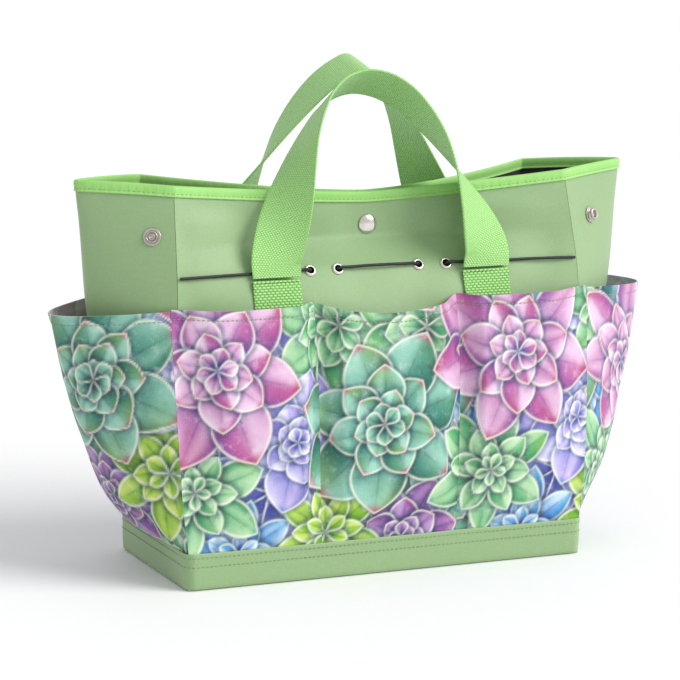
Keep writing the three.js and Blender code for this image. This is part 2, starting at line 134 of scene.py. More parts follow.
def flank_point(along, z, hand):
    """Point on a side panel (hand -1 left, 1 right); along runs -1 to 1 from front seam to back seam."""
    z = np.asarray(z, float)
    rounding = 0.1
    fold = (np.hypot(along, rounding) - rounding) / (math.hypot(1, rounding) - rounding)
    sharp = lerp(2, 1.05, (np.clip(z, 25, 277) - 25) / 252)
    x = lerp(crease_x(z), seam_x(z), fold ** sharp)
    y = np.where(along < 0, along * seam_front_y(z), along * seam_back_y(z))
    swell = 1.2 * ripple(y * 1.5, z, 26, 0.9 * hand) * smooth(1, 0.8, np.abs(along)) * smooth(270, 250, z)
    return np.stack([hand * (x + swell), y + 0 * x, z + 0 * x], -1)


def flank_rim_z(along):
    return lerp(RIM_CREASE_Z, RIM_SEAM_Z, np.square(along))


# ---- mesh helpers ----
def new_mesh(name, vertices, faces, materials, face_material=None, uv=None, smooth_angle=40):
    """Mesh object from arrays in millimetres; faces is (n, 4), and uv has a pair in metres per vertex."""
    mesh = bpy.data.meshes.new(name)
    vertices = np.asarray(vertices, float).reshape(-1, 3) * MM
    faces = np.asarray(faces, np.int32)
    mesh.vertices.add(len(vertices))
    mesh.vertices.foreach_set("co", vertices.astype(np.float32).ravel())
    mesh.loops.add(faces.size)
    mesh.loops.foreach_set("vertex_index", faces.ravel())
    mesh.polygons.add(len(faces))
    mesh.polygons.foreach_set("loop_start", np.arange(0, faces.size, faces.shape[1], dtype=np.int32))
    mesh.update(calc_edges=True)
    if uv is not None:
        layer = mesh.uv_layers.new(name="cloth")
        layer.data.foreach_set("uv", np.asarray(uv, np.float32)[faces.ravel()].ravel())
    for material in materials:
        mesh.materials.append(material)
    if face_material is not None:
        mesh.polygons.foreach_set("material_index", np.asarray(face_material, np.int32))
    mesh.validate()
    thing = bpy.data.objects.new(name, mesh)
    bpy.context.scene.collection.objects.link(thing)
    mesh.shade_smooth()
    if smooth_angle:
        mesh.set_sharp_from_angle(angle=math.radians(smooth_angle))
    return thing


def grid_normals(points):
    du = np.gradient(points, axis=1)
    dv = np.gradient(points, axis=0)
    normal = np.cross(du, dv)
    return normal / np.maximum(np.linalg.norm(normal, axis=-1, keepdims=True), 1e-9)


def grid_faces(rows, columns, offset=0, flip=False):
    a = np.arange((rows - 1) * columns).reshape(rows - 1, columns)[:, :-1].ravel() + offset
    quad = np.stack([a, a + 1, a + 1 + columns, a + columns], -1)
    return quad[:, ::-1] if flip else quad


def flat_lengths(points):
    """Length along the rows and up the columns of a grid, in metres: the cloth's own coordinates."""
    across = np.zeros(points.shape[:2])
    up = np.zeros(points.shape[:2])
    across[:, 1:] = np.cumsum(np.linalg.norm(np.diff(points, axis=1), axis=-1), 1)
    up[1:] = np.cumsum(np.linalg.norm(np.diff(points, axis=0), axis=-1), 0)
    across -= across[:, across.shape[1] // 2][:, None]
    return np.stack([across, up], -1) * MM


def cloth(name, points, thickness, outward, materials):
    """Closed sheet: points is a (rows, columns, 3) grid of its outer face, outward the side that shows.
    materials are the outer, the inner and the edge material."""
    rows, columns = points.shape[:2]
    normal = grid_normals(points)
    turned = np.sum(normal * outward, -1).mean() < 0
    normal = -normal if turned else normal
    inner = points - normal * thickness
    count = rows * columns
    uv = flat_lengths(points)
    outer_faces = grid_faces(rows, columns, 0, turned)
    inner_faces = grid_faces(rows, columns, count, not turned)
    index = np.arange(count).reshape(rows, columns)
    loop = np.concatenate([index[0, :-1], index[:-1, -1], index[-1, :0:-1], index[:0:-1, 0]])
    following = np.roll(loop, -1)
    rim = np.stack([loop, loop + count, following + count, following], -1)
    rim = rim[:, ::-1] if turned else rim
    faces = np.concatenate([outer_faces, inner_faces, rim])
    kinds = np.repeat([0, 1, 2], [len(outer_faces), len(inner_faces), len(rim)])
    vertices = np.concatenate([points.reshape(-1, 3), inner.reshape(-1, 3)])
    uvs = np.concatenate([uv.reshape(-1, 2)] * 2)
    return new_mesh(name, vertices, faces, materials, kinds, uvs)


def loft(name, rings, materials, closed=False):
    """Closed skin through rings (stations, ring points, 3); ends are capped by fans unless it closes."""
    stations, count = rings.shape[:2]
    index = np.arange(stations * count).reshape(stations, count)
    here, there = index, np.roll(index, -1, axis=1)
    if closed:
        nexts, next_there = np.roll(here, -1, axis=0), np.roll(there, -1, axis=0)
        faces = np.stack([here, there, next_there, nexts], -1).reshape(-1, 4)
    else:
        faces = np.stack([here[:-1], there[:-1], there[1:], here[1:]], -1).reshape(-1, 4)
    along = np.zeros(stations)
    along[1:] = np.cumsum(np.linalg.norm(np.diff(rings.mean(1), axis=0), axis=-1))
    turn = np.zeros(count)
    turn[1:] = np.cumsum(np.linalg.norm(np.diff(rings[0], axis=0), axis=-1))
    uv = np.stack(np.meshgrid(turn, along), -1).reshape(-1, 2) * MM
    vertices = rings.reshape(-1, 3)
    if not closed:
        centres = np.stack([rings[0].mean(0), rings[-1].mean(0)])
        first, last = len(vertices), len(vertices) + 1
        vertices = np.concatenate([vertices, centres])
        uv = np.concatenate([uv, [[0, 0], [0, along[-1] * MM]]])
        start = np.stack([np.full(count, first), index[0], np.roll(index[0], -1), np.full(count, first)], -1)
        end = np.stack([np.full(count, last), np.roll(index[-1], -1), index[-1], np.full(count, last)], -1)
        thing = mixed_mesh(name, vertices, faces, np.concatenate([start, end])[:, [0, 2, 1]], materials, uv)
    else:
        thing = new_mesh(name, vertices, faces, materials, None, uv)
    return face_outward(thing)


def mixed_mesh(name, vertices, quads, triangles, materials, uv):
    """Mesh of quads and triangles, in millimetres, with one uv pair per vertex in metres."""
    mesh = bpy.data.meshes.new(name)
    faces = [tuple(int(i) for i in f) for f in quads] + [tuple(int(i) for i in f) for f in triangles]
    mesh.from_pydata([tuple(v) for v in np.asarray(vertices) * MM], [], faces)
    layer = mesh.uv_layers.new(name="cloth")
    order = np.zeros(len(mesh.loops), np.int32)
    mesh.loops.foreach_get("vertex_index", order)
    layer.data.foreach_set("uv", np.asarray(uv, np.float32)[order].ravel())
    for material in materials:
        mesh.materials.append(material)
    thing = bpy.data.objects.new(name, mesh)
    bpy.context.scene.collection.objects.link(thing)
    mesh.shade_smooth()
    mesh.set_sharp_from_angle(angle=math.radians(40))
    return thing


def face_outward(thing):
    bm = bmesh.new()
    bm.from_mesh(thing.data)
    bmesh.ops.recalc_face_normals(bm, faces=bm.faces)
    if bm.calc_volume(signed=True) < 0:
        bmesh.ops.reverse_faces(bm, faces=bm.faces)
    bm.to_mesh(thing.data)
    bm.free()
    return thing


def join(name, things):
    """One object from several, keeping their materials."""
    bpy.ops.object.select_all(action="DESELECT")
    for thing in things:
        thing.select_set(True)
    bpy.context.view_layer.objects.active = things[0]
    bpy.ops.object.join()
    things[0].name = name
    things[0].data.name = name
    return things[0]


def catmull(points, steps):
    """Smooth open curve through points, as an array with that many steps."""
    p = np.asarray(points, float)
    p = np.concatenate([[2 * p[0] - p[1]], p, [2 * p[-1] - p[-2]]])
    knot = np.concatenate([[0], np.cumsum(np.sqrt(np.linalg.norm(np.diff(p, axis=0), axis=1)))])
    t = np.linspace(knot[1], knot[-2], steps + 1)
    i = np.clip(np.searchsorted(knot, t, side="right") - 1, 1, len(p) - 3)
    k = [knot[i - 1], knot[i], knot[i + 1], knot[i + 2]]
    q = [p[i - 1], p[i], p[i + 1], p[i + 2]]

    def mix(a, b, ta, tb):
        return ((tb - t) / (tb - ta))[:, None] * a + ((t - ta) / (tb - ta))[:, None] * b

    a1, a2, a3 = mix(q[0], q[1], k[0], k[1]), mix(q[1], q[2], k[1], k[2]), mix(q[2], q[3], k[2], k[3])
    b1, b2 = mix(a1, a2, k[0], k[2]), mix(a2, a3, k[1], k[3])
    return mix(b1, b2, k[1], k[2])


def evenly(path, steps):
    """The same curve with evenly spaced points."""
    length = np.concatenate([[0], np.cumsum(np.linalg.norm(np.diff(path, axis=0), axis=1))])
    at = np.linspace(0, length[-1], steps + 1)
    return np.stack([np.interp(at, length, path[:, c]) for c in range(path.shape[1])], -1)


def unit(v):
    return v / np.maximum(np.linalg.norm(v, axis=-1, keepdims=True), 1e-9)


# ---- materials ----
def linear(rgb):
    """Linear colour from 0 to 255 display values."""
    c = np.asarray(rgb, float) / 255
    return np.where(c <= 0.04045, c / 12.92, ((c + 0.055) / 1.055) ** 2.4)


class Shade:
    """A material's nodes, built by short calls that return sockets."""

    def __init__(self, name):
        self.material = bpy.data.materials.new(name)
        self.material.use_nodes = True
        self.tree = self.material.node_tree
        self.shader = self.tree.nodes["Principled BSDF"]

    def put(self, socket, value):
        if isinstance(value, bpy.types.NodeSocket):
            self.tree.links.new(value, socket)
        else:
            socket.default_value = value

    def math(self, operation, *values):
        node = self.tree.nodes.new("ShaderNodeMath")
        node.operation = operation
        for socket, value in zip(node.inputs, values):
            self.put(socket, value)
        return node.outputs[0]

    def cloth(self):
        """Across and along coordinates of the cloth, in millimetres."""
        uv = self.tree.nodes.new("ShaderNodeUVMap")
        uv.uv_map = "cloth"
        split = self.tree.nodes.new("ShaderNodeSeparateXYZ")
        self.tree.links.new(uv.outputs[0], split.inputs[0])
        return [self.math("MULTIPLY", split.outputs[i], 1000.0) for i in (0, 1)]

    def place(self):
        return self.tree.nodes.new("ShaderNodeTexCoord").outputs["Object"]

    def noise(self, vector, scale, detail=3.0, roughness=0.5):
        node = self.tree.nodes.new("ShaderNodeTexNoise")
        self.put(node.inputs["Vector"], vector)
        self.put(node.inputs["Scale"], scale)
        self.put(node.inputs["Detail"], detail)
        self.put(node.inputs["Roughness"], roughness)
        return node.outputs["Fac"]

    def spread(self, value, low, high, to_low=0.0, to_high=1.0):
        node = self.tree.nodes.new("ShaderNodeMapRange")
        for socket, item in zip(node.inputs, (value, low, high, to_low, to_high)):
            self.put(socket, item)
        return node.outputs[0]

    def mix(self, share, a, b, kind="MIX"):
        node = self.tree.nodes.new("ShaderNodeMix")
        node.data_type = "RGBA"
        node.blend_type = kind
        self.put(node.inputs["Factor"], share)
        for socket, value in zip((node.inputs[6], node.inputs[7]), (a, b)):
            self.put(socket, (*value, 1.0) if not isinstance(value, bpy.types.NodeSocket) else value)
        return node.outputs[2]

    def bump(self, height, strength, distance):
        node = self.tree.nodes.new("ShaderNodeBump")
        self.put(node.inputs["Strength"], strength)
        self.put(node.inputs["Distance"], distance)
        self.put(node.inputs["Height"], height)
        self.put(self.shader.inputs["Normal"], node.outputs[0])

    def finish(self, color, roughness, **sockets):
        self.put(self.shader.inputs["Base Color"], color)
        self.put(self.shader.inputs["Roughness"], roughness)
        for name, value in sockets.items():
            self.put(self.shader.inputs[name.replace("_", " ")], value)
        return self.material

    def weave(self, pitch, slant=0.0):
        """Height of a plain weave of that thread pitch in millimetres, turned by slant radians."""
        across, along = self.cloth()
        c, s = math.cos(slant), math.sin(slant)
        u = self.math("ADD", self.math("MULTIPLY", across, c), self.math("MULTIPLY", along, s))
        v = self.math("SUBTRACT", self.math("MULTIPLY", along, c), self.math("MULTIPLY", across, s))
        turn = math.pi / pitch
        over = self.math("SINE", self.math("MULTIPLY", u, turn))
        under = self.math("SINE", self.math("MULTIPLY", v, turn))
        return self.math("MULTIPLY", over, under)


def body_cloth():
    shade = Shade("sage_coated_polyester")
    weave = shade.weave(0.5, math.radians(38))
    cloudy = shade.noise(shade.place(), 18.0, 2.0)
    fleck = shade.noise(shade.place(), 900.0, 1.0)
    color = shade.mix(shade.spread(weave, -0.9, 0.9), linear((120, 152, 102)), linear((150, 180, 130)))
    color = shade.mix(shade.spread(cloudy, 0.35, 0.65, 0.0, 0.2), color, linear((132, 163, 112)))
    color = shade.mix(shade.spread(fleck, 0.4, 0.75, 0.0, 0.1), color, linear((190, 208, 176)))
    shade.bump(weave, 0.3, 0.00012)
    roughness = shade.spread(weave, -1, 1, 0.56, 0.44)
    return shade.finish(color, roughness, Sheen_Weight=0.25, Specular_IOR_Level=0.5)


def lining_cloth():
    shade = Shade("charcoal_coating")
    weave = shade.weave(1.0)
    color = shade.mix(shade.spread(weave, -1, 1), linear((40, 41, 42)), linear((58, 60, 60)))
    shade.bump(weave, 0.3, 0.0002)
    return shade.finish(color, shade.spread(weave, -1, 1, 0.62, 0.5))


def binding_cloth():
    shade = Shade("green_binding")
    along = shade.cloth()[1]
    ribs = shade.math("SINE", shade.math("MULTIPLY", along, 2 * math.pi / 0.9))
    cloudy = shade.noise(shade.place(), 45.0, 2.0)
    color = shade.mix(shade.spread(ribs, -1, 1), linear((136, 194, 98)), linear((160, 214, 124)))
    color = shade.mix(shade.spread(cloudy, 0.3, 0.7, 0.0, 0.35), color, linear((122, 184, 84)))
    shade.bump(ribs, 0.25, 0.00015)
    return shade.finish(color, shade.spread(cloudy, 0.3, 0.7, 0.62, 0.5), Sheen_Weight=0.2)


def webbing_cloth(name, rib, depth, dark, light):
    """Ribbed webbing: rows of short raised floats, every other row shifted by half a float."""
    shade = Shade(name)
    across, along = shade.cloth()
    row = shade.math("DIVIDE", along, rib)
    shift = shade.math("MULTIPLY", shade.math("MODULO", shade.math("FLOOR", row), 2.0), 0.5)
    part = shade.math("FRACT", row)
    tick = shade.math("FRACT", shade.math("ADD", shade.math("DIVIDE", across, rib * 1.7), shift))
    hump_row = shade.math("SINE", shade.math("MULTIPLY", part, math.pi))
    hump_tick = shade.math("SINE", shade.math("MULTIPLY", tick, math.pi))
    height = shade.math("MULTIPLY", shade.math("POWER", hump_row, 0.6), shade.math("POWER", hump_tick, 0.7))
    fuzz = shade.noise(shade.place(), 700.0, 2.0)
    color = shade.mix(shade.spread(height, 0.1, 0.9), dark, light)
    color = shade.mix(shade.spread(fuzz, 0.35, 0.7, 0.0, 0.25), color, linear((196, 232, 166)))
    shade.bump(height, depth, 0.0006)
    return shade.finish(color, shade.spread(height, 0, 1, 0.68, 0.46), Sheen_Weight=0.25)


def print_cloth():
    """Printed polyester: the painted colours with watercolour granulation, a fine weave, and painted shade
    darkening the weave's hollows.
    """
    shade = Shade("succulent_print")
    paint = shade.tree.nodes.new("ShaderNodeAttribute")
    paint.attribute_name = "paint"
    weave = shade.weave(0.8, math.radians(45))
    bloom = shade.noise(shade.place(), 95.0, 4.0, 0.65)
    grain = shade.noise(shade.place(), 420.0, 3.0, 0.6)
    pooled = shade.mix(shade.spread(bloom, 0.52, 0.72, 0.0, 0.38), paint.outputs["Color"],
                       paint.outputs["Color"], "MULTIPLY")
    lifted = shade.mix(shade.spread(bloom, 0.44, 0.3, 0.0, 0.24), pooled, linear((238, 238, 244)))
    speck = shade.mix(shade.spread(grain, 0.58, 0.75, 0.0, 0.1), lifted, linear((232, 238, 240)))
    # painted shade: the weave's hollows are darkened towards black, by up to 9 %
    threads = shade.mix(shade.spread(weave, -1, 1, 0.09, 0.0), speck, (0.0, 0.0, 0.0))
    shade.bump(weave, 0.25, 0.00018)
    return shade.finish(threads, shade.spread(weave, -1, 1, 0.6, 0.5), Sheen_Weight=0.08)


def print_reverse():
    """Back of the printed cloth: white, with the print showing through faintly."""
    shade = Shade("print_reverse")
    paint = shade.tree.nodes.new("ShaderNodeAttribute")
    paint.attribute_name = "paint"
    weave = shade.weave(0.8, math.radians(45))
    color = shade.mix(0.62, paint.outputs["Color"], linear((214, 208, 210)))
    # painted shade: the weave's hollows are darkened towards near black, by up to 10 %
    color = shade.mix(shade.spread(weave, -1, 1, 0.1, 0.0), color, (0.05, 0.05, 0.06))
    shade.bump(weave, 0.25, 0.00018)
    return shade.finish(color, shade.spread(weave, -1, 1, 0.75, 0.6))


def metal(name, tint, roughness):
    shade = Shade(name)
    smudge = shade.noise(shade.place(), 260.0, 3.0)
    scratch = shade.noise(shade.place(), 2400.0, 2.0)
    color = shade.mix(shade.spread(smudge, 0.35, 0.7, 0.0, 0.3), tint, linear((176, 170, 160)))
    shade.bump(scratch, 0.06, 0.00005)
    rough = shade.spread(smudge, 0.3, 0.7, roughness, roughness + 0.14)
    return shade.finish(color, rough, Metallic=1.0)


def thread_cloth(name, rgb):
    shade = Shade(name)
    twist = shade.noise(shade.place(), 2200.0, 1.0)
    low = [0.72 * c for c in linear(rgb)]
    color = shade.mix(shade.spread(twist, 0.35, 0.65), low, linear(rgb))
    shade.bump(twist, 0.4, 0.0001)
    return shade.finish(color, 0.7)


def elastic_cloth():
    shade = Shade("black_braided_elastic")
    across, along = shade.cloth()
    turn = shade.math("ADD", shade.math("MULTIPLY", along, 2.6), shade.math("MULTIPLY", across, 2.0))
    back = shade.math("SUBTRACT", shade.math("MULTIPLY", along, 2.6), shade.math("MULTIPLY", across, 2.0))
    braid = shade.math("MULTIPLY", shade.math("SINE", turn), shade.math("SINE", back))
    color = shade.mix(shade.spread(braid, -1, 1), linear((16, 17, 19)), linear((48, 50, 54)))
    shade.bump(braid, 0.5, 0.0002)
    return shade.finish(color, shade.spread(braid, -1, 1, 0.75, 0.5))


SAGE = body_cloth()
LINING = lining_cloth()
BINDING = binding_cloth()
STRAP = webbing_cloth("green_webbing", 1.25, 0.6, linear((118, 182, 84)), linear((166, 222, 132)))
SEWN_STRAP = webbing_cloth("green_webbing_sewn", 1.9, 1.0, linear((94, 166, 62)), linear((160, 220, 124)))
PRINTED = print_cloth()
REVERSE = print_reverse()
NICKEL = metal("polished_nickel", linear((226, 222, 214)), 0.16)
BRUSHED = metal("worn_nickel", linear((198, 192, 184)), 0.3)
GREEN_THREAD = thread_cloth("green_thread", (150, 196, 116))
SAGE_THREAD = thread_cloth("sage_thread", (126, 154, 106))
PRINT_THREAD = thread_cloth("grey_green_thread", (150, 160, 140))
DARK_THREAD = thread_cloth("dark_green_thread", (58, 96, 44))
ELASTIC = elastic_cloth()


# ---- the print ----
# A repeating tile of painted rosettes. Each rosette is drawn ring by ring from the outside in; each petal
# shades what is under it, then lays a wash from its base colour to its tip, a pale rim and a fine vein.
TILE = (226.0, 206.0)
PALETTES = {
    "teal": [(0, 62, 72), (24, 126, 108), (168, 220, 200), (180, 206, 90), (172, 36, 96)],
    "jade": [(0, 84, 64), (52, 158, 104), (204, 236, 190), (150, 204, 64), (30, 130, 140)],
    "lime": [(26, 98, 28), (120, 180, 20), (220, 236, 124), (196, 218, 30), (60, 130, 60)],
    "pink": [(66, 50, 138), (176, 88, 156), (242, 218, 240), (176, 24, 92), (162, 16, 80)],
    "plum": [(32, 30, 104), (110, 58, 144), (202, 166, 214), (166, 40, 110), (150, 20, 86)],
    "lilac": [(36, 58, 150), (126, 124, 206), (238, 232, 248), (222, 176, 224), (10, 104, 190)],
    "sky": [(0, 70, 160), (58, 148, 212), (220, 238, 248), (50, 180, 196), (20, 96, 176)],
}
# middle across and up in the tile, reach, turn in degrees, palette, petals in a ring, rings, petal plumpness
ROSETTES = [
    (62, 62, 62, 10, "lilac", 7, 2, 0.34),
    (202, 128, 56, 50, "sky", 7, 2, 0.31),
    (70, 186, 54, 20, "lilac", 7, 2, 0.34),
    (116, 176, 52, 15, "jade", 7, 3, 0.28),
    (182, 172, 56, 0, "jade", 7, 3, 0.30),
    (196, 56, 52, 30, "teal", 7, 3, 0.30),
    (38, 20, 46, 30, "sky", 7, 3, 0.26),
    (166, 22, 50, 65, "plum", 6, 4, 0.36),
    (108, 30, 52, 40, "lime", 7, 3, 0.24),
    (82, 98, 50, 75, "lilac", 6, 4, 0.38),
    (148, 106, 68, 12, "teal", 7, 4, 0.33),
    (8, 66, 54, 22, "jade", 6, 4, 0.26),
    (26, 150, 70, -12, "pink", 7, 4, 0.30),
]


def blend_colors(a, b, share):
    return a * (1 - share[:, None]) + b * share[:, None]


def wash_background(u, v):
    """Pale lilac paper with deep blue and sea green pools, as the gaps between the plants."""
    pool = smooth(-0.25, 0.45, ripple(u, v, 9, 0.4))
    drift = smooth(-0.4, 0.4, ripple(u, v, 17, 1.3))
    deep = blend_colors(linear((34, 78, 140)), linear((18, 104, 110)), drift)
    pale = blend_colors(linear((214, 216, 236)), linear((186, 214, 226)), drift)
    return blend_colors(pale, deep, pool)


def paint_petal(color, du, dv, angle, length, width, palette, rng, light):
    """Paints one petal over color, where du and dv are millimetres from the rosette's middle."""
    base, middle, pale, warm, tip = palette
    along = du * math.cos(angle) + dv * math.sin(angle)
    across = -du * math.sin(angle) + dv * math.cos(angle)
    near = (along > -4) & (along < length + 5) & (np.abs(across) < width + 5)
    if not near.any():
        return
    s = np.clip(along[near] / length, 0.0, 1.0)
    bend = rng.uniform(-0.08, 0.08) * length
    t = across[near] - bend * s * s
    tip_share = np.clip((s - 0.56) / 0.44, 0, 1)
    swell = 0.22 + 0.78 * np.sin(math.pi / 2 * np.minimum(s / 0.6, 1)) ** 1.4
    half = width * swell * (1 - tip_share ** 2.3)
    inside_by = np.minimum((half - np.abs(t)) * (1 - 0.3 * tip_share), length - along[near])
    local = color[near]
    shadow = 0.6 * smooth(-5, -0.3, inside_by) * smooth(-2, 3, along[near])
    local *= (1 - shadow * np.array([0.86, 0.72, 0.6])[:, None]).T
    side = t / np.maximum(half, 1.0)
    lit_side = rng.choice([-1, 1])
    lit = smooth(-0.8, 0.8, side * lit_side + rng.uniform(-0.3, 0.3))
    wash = blend_colors(base, middle, smooth(0.1, 0.7, s + rng.uniform(-0.1, 0.1)))
    wash = blend_colors(wash, pale, smooth(0.3, 0.85, s) * lit ** 1.4 * light)
    wash = blend_colors(wash, warm, rng.uniform(0.1, 0.5) * smooth(0.5, 0.9, s) * (1 - lit))
    wash = blend_colors(wash, pale, 0.5 * np.exp(-((side - 0.35) / 0.3) ** 2) * smooth(0.15, 0.5, s) * light)
    wash = blend_colors(wash, base, 0.55 * smooth(0.35, 1.0, -side * lit_side) * smooth(1.0, 0.7, s))
    vein = 0.4 * np.exp(-(t / 0.8) ** 2) * smooth(0.1, 0.3, s) * smooth(0.95, 0.6, s)
    wash = blend_colors(wash, base, vein)
    wash = blend_colors(wash, tip, 0.85 * smooth(0.86, 0.98, s))
    rim = np.exp(-((inside_by - 0.9) / 0.95) ** 2)
    wash = blend_colors(wash, linear((240, 242, 224)), 0.7 * rim)
    cover = smooth(-0.9, 0.7, inside_by) * smooth(-1, 1, along[near])
    color[near] = blend_colors(local, wash, cover)


def paint(uv):
    """Linear colours of the print at cloth coordinates in millimetres."""
    u, v = uv[:, 0], uv[:, 1]
    color = wash_background(u, v)
    rng = np.random.default_rng(7)
    for x, y, reach, turn, name, count, rings, plump in ROSETTES:
        palette = [linear(c) for c in PALETTES[name]]
        du = (u - x + TILE[0] / 2) % TILE[0] - TILE[0] / 2
        dv = (v - y + TILE[1] / 2) % TILE[1] - TILE[1] / 2
        for ring in range(rings):
            length = reach * 0.62 ** ring
            petals = max(count - (ring > 1), 4)
            for k in range(petals):
                place = k + 0.5 * ring + rng.uniform(-0.12, 0.12)
                angle = math.radians(turn) + place * 2 * math.pi / petals
                size = length * rng.uniform(0.88, 1.06)
                width = size * plump * rng.uniform(0.85, 1.05) * (1 + 0.14 * ring)
                light = 0.7 + 0.1 * ring
                paint_petal(color, du, dv, angle, size, width, palette, rng, light)
        heart = np.exp(-(np.hypot(du, dv) / 2.6) ** 2)
        color = blend_colors(color, palette[0], 0.6 * heart)
    return color


def add_paint(thing, offset):
    """Gives a cloth piece its print colours; offset is where its middle bottom lies in the tile."""
    mesh = thing.data
    order = np.zeros(len(mesh.loops), np.int32)
    mesh.loops.foreach_get("vertex_index", order)
    flat = np.zeros(len(mesh.loops) * 2, np.float32)
    mesh.uv_layers["cloth"].data.foreach_get("uv", flat)
    uv = np.zeros((len(mesh.vertices), 2))
    uv[order] = flat.reshape(-1, 2)
    color = paint(uv * 1000 + np.asarray(offset, float))
    rgba = np.concatenate([color, np.ones((len(color), 1))], 1)
    layer = mesh.attributes.new("paint", "FLOAT_COLOR", "POINT")
    layer.data.foreach_set("color", rgba.astype(np.float32).ravel())


# ---- cutting the cloth at the mouth ----
MOUTH = {-1: ("front_mouth", -46.0), 1: ("back_mouth", 48.0)}
FOOT_X = 61.0
FULL_Z = 238.0       # the cuts from the feet rise to this height at the middle of the mouth


def follow_corner(thing):
    """Bakes the placement of a piece into its mesh."""
    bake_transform(thing)


def follow_middle(thing):
    """Bakes the placement of the triangle below the snap into its mesh."""
    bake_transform(thing)


def cut(thing, point, normal):
    """Keeps what lies on the normal's side of a plane and closes the cut."""
    bm = bmesh.new()
    bm.from_mesh(thing.data)
    everything = bm.verts[:] + bm.edges[:] + bm.faces[:]
    made = bmesh.ops.bisect_plane(bm, geom=everything, plane_co=Vector(point) * MM, plane_no=Vector(normal),
                                  clear_inner=True)
    edges = [e for e in made["geom_cut"] if isinstance(e, bmesh.types.BMEdge)]
    bmesh.ops.holes_fill(bm, edges=edges, sides=0)
    bm.to_mesh(thing.data)
    bm.free()
    thing.data.set_sharp_from_angle(angle=math.radians(40))
    return thing


def copy_of(thing, name):
    twin = thing.copy()
    twin.data = thing.data.copy()
    twin.name = name
    twin.data.name = name
    bpy.context.scene.collection.objects.link(twin)
    return twin


# ---- body ----
def bore(thing, centre, normal, radius):
    """Cuts a round hole through a piece."""
    bpy.ops.mesh.primitive_cylinder_add(vertices=24, radius=radius * MM, depth=0.012,
                                        location=Vector(centre) * MM)
    tool = bpy.context.object
    tool.rotation_mode = "QUATERNION"
    tool.rotation_quaternion = Vector((0, 0, 1)).rotation_difference(Vector(normal))
    change = thing.modifiers.new("hole", "BOOLEAN")
    change.object = tool
    change.operation = "DIFFERENCE"
    change.solver = "EXACT"
    bpy.context.view_layer.objects.active = thing
    bpy.ops.object.modifier_apply(modifier="hole")
    bpy.data.objects.remove(tool, do_unlink=True)


def face_place(x, z, side):
    """Point and outward normal on the front or back panel."""
    def at(px, pz):
        return face_point(np.array([px / seam_x(pz)]), np.array([pz]), side)[0]
    normal = unit(np.cross(at(x + 0.5, z) - at(x - 0.5, z), at(x, z + 0.5) - at(x, z - 0.5)))
    return at(x, z), normal * np.sign(normal[1] * side)


def flank_place(along, z, hand):
    def at(s, pz):
        return flank_point(np.array([s]), np.array([pz]), hand)[0]
    normal = unit(np.cross(at(along + 0.01, z) - at(along - 0.01, z), at(along, z + 1) - at(along, z - 1)))
    return at(along, z), normal * np.sign(normal[0] * hand)


EYELET_BORE = 3.1        # radius of the eyelets' holes in the cloth
SEAM_INSET = 0.12        # the front and back cloth stop this far short of a corner seam
FLANK_EDGE = 0.998       # the side cloth reaches this share of the way to a corner seam
RIM_TRIM = 2.2           # the cloth stops this far below the rim, inside the binding


def add_face(side, label):
    across = np.linspace(-1, 1, 121)
    rows = 1 - (1 - np.linspace(0, 1, 96)) ** 1.15
    top = face_rim_z(across) - RIM_TRIM
    z = WALL_BOTTOM + rows[:, None] * (top - WALL_BOTTOM)[None]
    edge = 1 - SEAM_INSET / seam_x(z)
    points = face_point(across[None] * edge, z, side)
    whole = cloth(f"{label}_panel_cloth", points, FABRIC, np.array([0, side, 0]), [SAGE, LINING, LINING])
    if side < 0:
        for x in EYELET_X:
            centre, normal = face_place(x, EYELET_Z, side)
            bore(whole, centre, normal, EYELET_BORE)
    below = (0, 0, HINGE_Z)
    lower = cut(copy_of(whole, f"{label}_panel_lower"), below, (0, 0, -1))
    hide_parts(f"{label}_panel")
    upper = cut(whole, below, (0, 0, 1))
    rise = (FULL_Z - HINGE_Z) / FOOT_X
    pieces = []
    for hand, name in ((-1, "left"), (1, "right")):
        half = cut(copy_of(upper, f"{label}_panel_{name}"), (0, 0, 0), (hand, 0, 0))
        foot = (hand * FOOT_X, 0, HINGE_Z)
        middle = cut(copy_of(half, f"{label}_panel_under_{name}"), foot, (-hand * rise, 0, -1))
        corner = cut(half, foot, (hand * rise, 0, 1))
        pieces.append((corner, middle, hand))
    for corner, middle, hand in pieces:
        follow_corner(corner)
        follow_middle(middle)
        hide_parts(f"{label}_mouth_flap")
    bpy.data.objects.remove(upper, do_unlink=True)
    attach(lower, "body")


def add_flank(hand, label):
    for side, name in ((-1, "front"), (1, "back")):
        along = np.linspace(0.0, 1.0, 49) ** 0.9 * side
        rows = np.linspace(0, 1, 88)
        top = flank_rim_z(along) - RIM_TRIM
        z = WALL_BOTTOM + rows[:, None] * (top - WALL_BOTTOM)[None]
        points = flank_point(along[None] * FLANK_EDGE + 0 * z, z, hand)
        piece = cloth(f"{label}_side_panel_{name}", points, FABRIC, np.array([hand, 0, 0]),
                      [SAGE, LINING, LINING])
        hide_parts(f"{label}_side_panel")
        follow_corner(piece)


# ---- rim binding ----
def rim_path(side, hand):
    """Rim from the middle of the front or back to a side crease, with outward and downward directions."""
    across = np.linspace(0, 1, 90) * hand
    along = np.linspace(1, 0, 50)[1:] * side

    def line(drop):
        face = face_point(across, face_rim_z(across) - drop, side)
        return np.concatenate([face, flank_point(along, flank_rim_z(along) - drop, hand)])

    both = evenly(np.concatenate([line(0), line(BINDING_HEIGHT)], 1), 260)
    for _ in range(6):
        both[1:-1] = (both[:-2] + 2 * both[1:-1] + both[2:]) / 4
    path, below = both[:, :3], both[:, 3:]
    down = (below - path) / BINDING_HEIGHT
    tangent = unit(np.gradient(path, axis=0) * [1, 1, 0])
    outward = np.stack([tangent[:, 1], -tangent[:, 0], 0 * tangent[:, 0]], -1)
    outward *= np.sign(np.sum(outward[100] * [0, side, 0]))
    outward[0] = (0, side, 0)
    outward[-1] = (hand, 0, 0)
    return path, outward, down


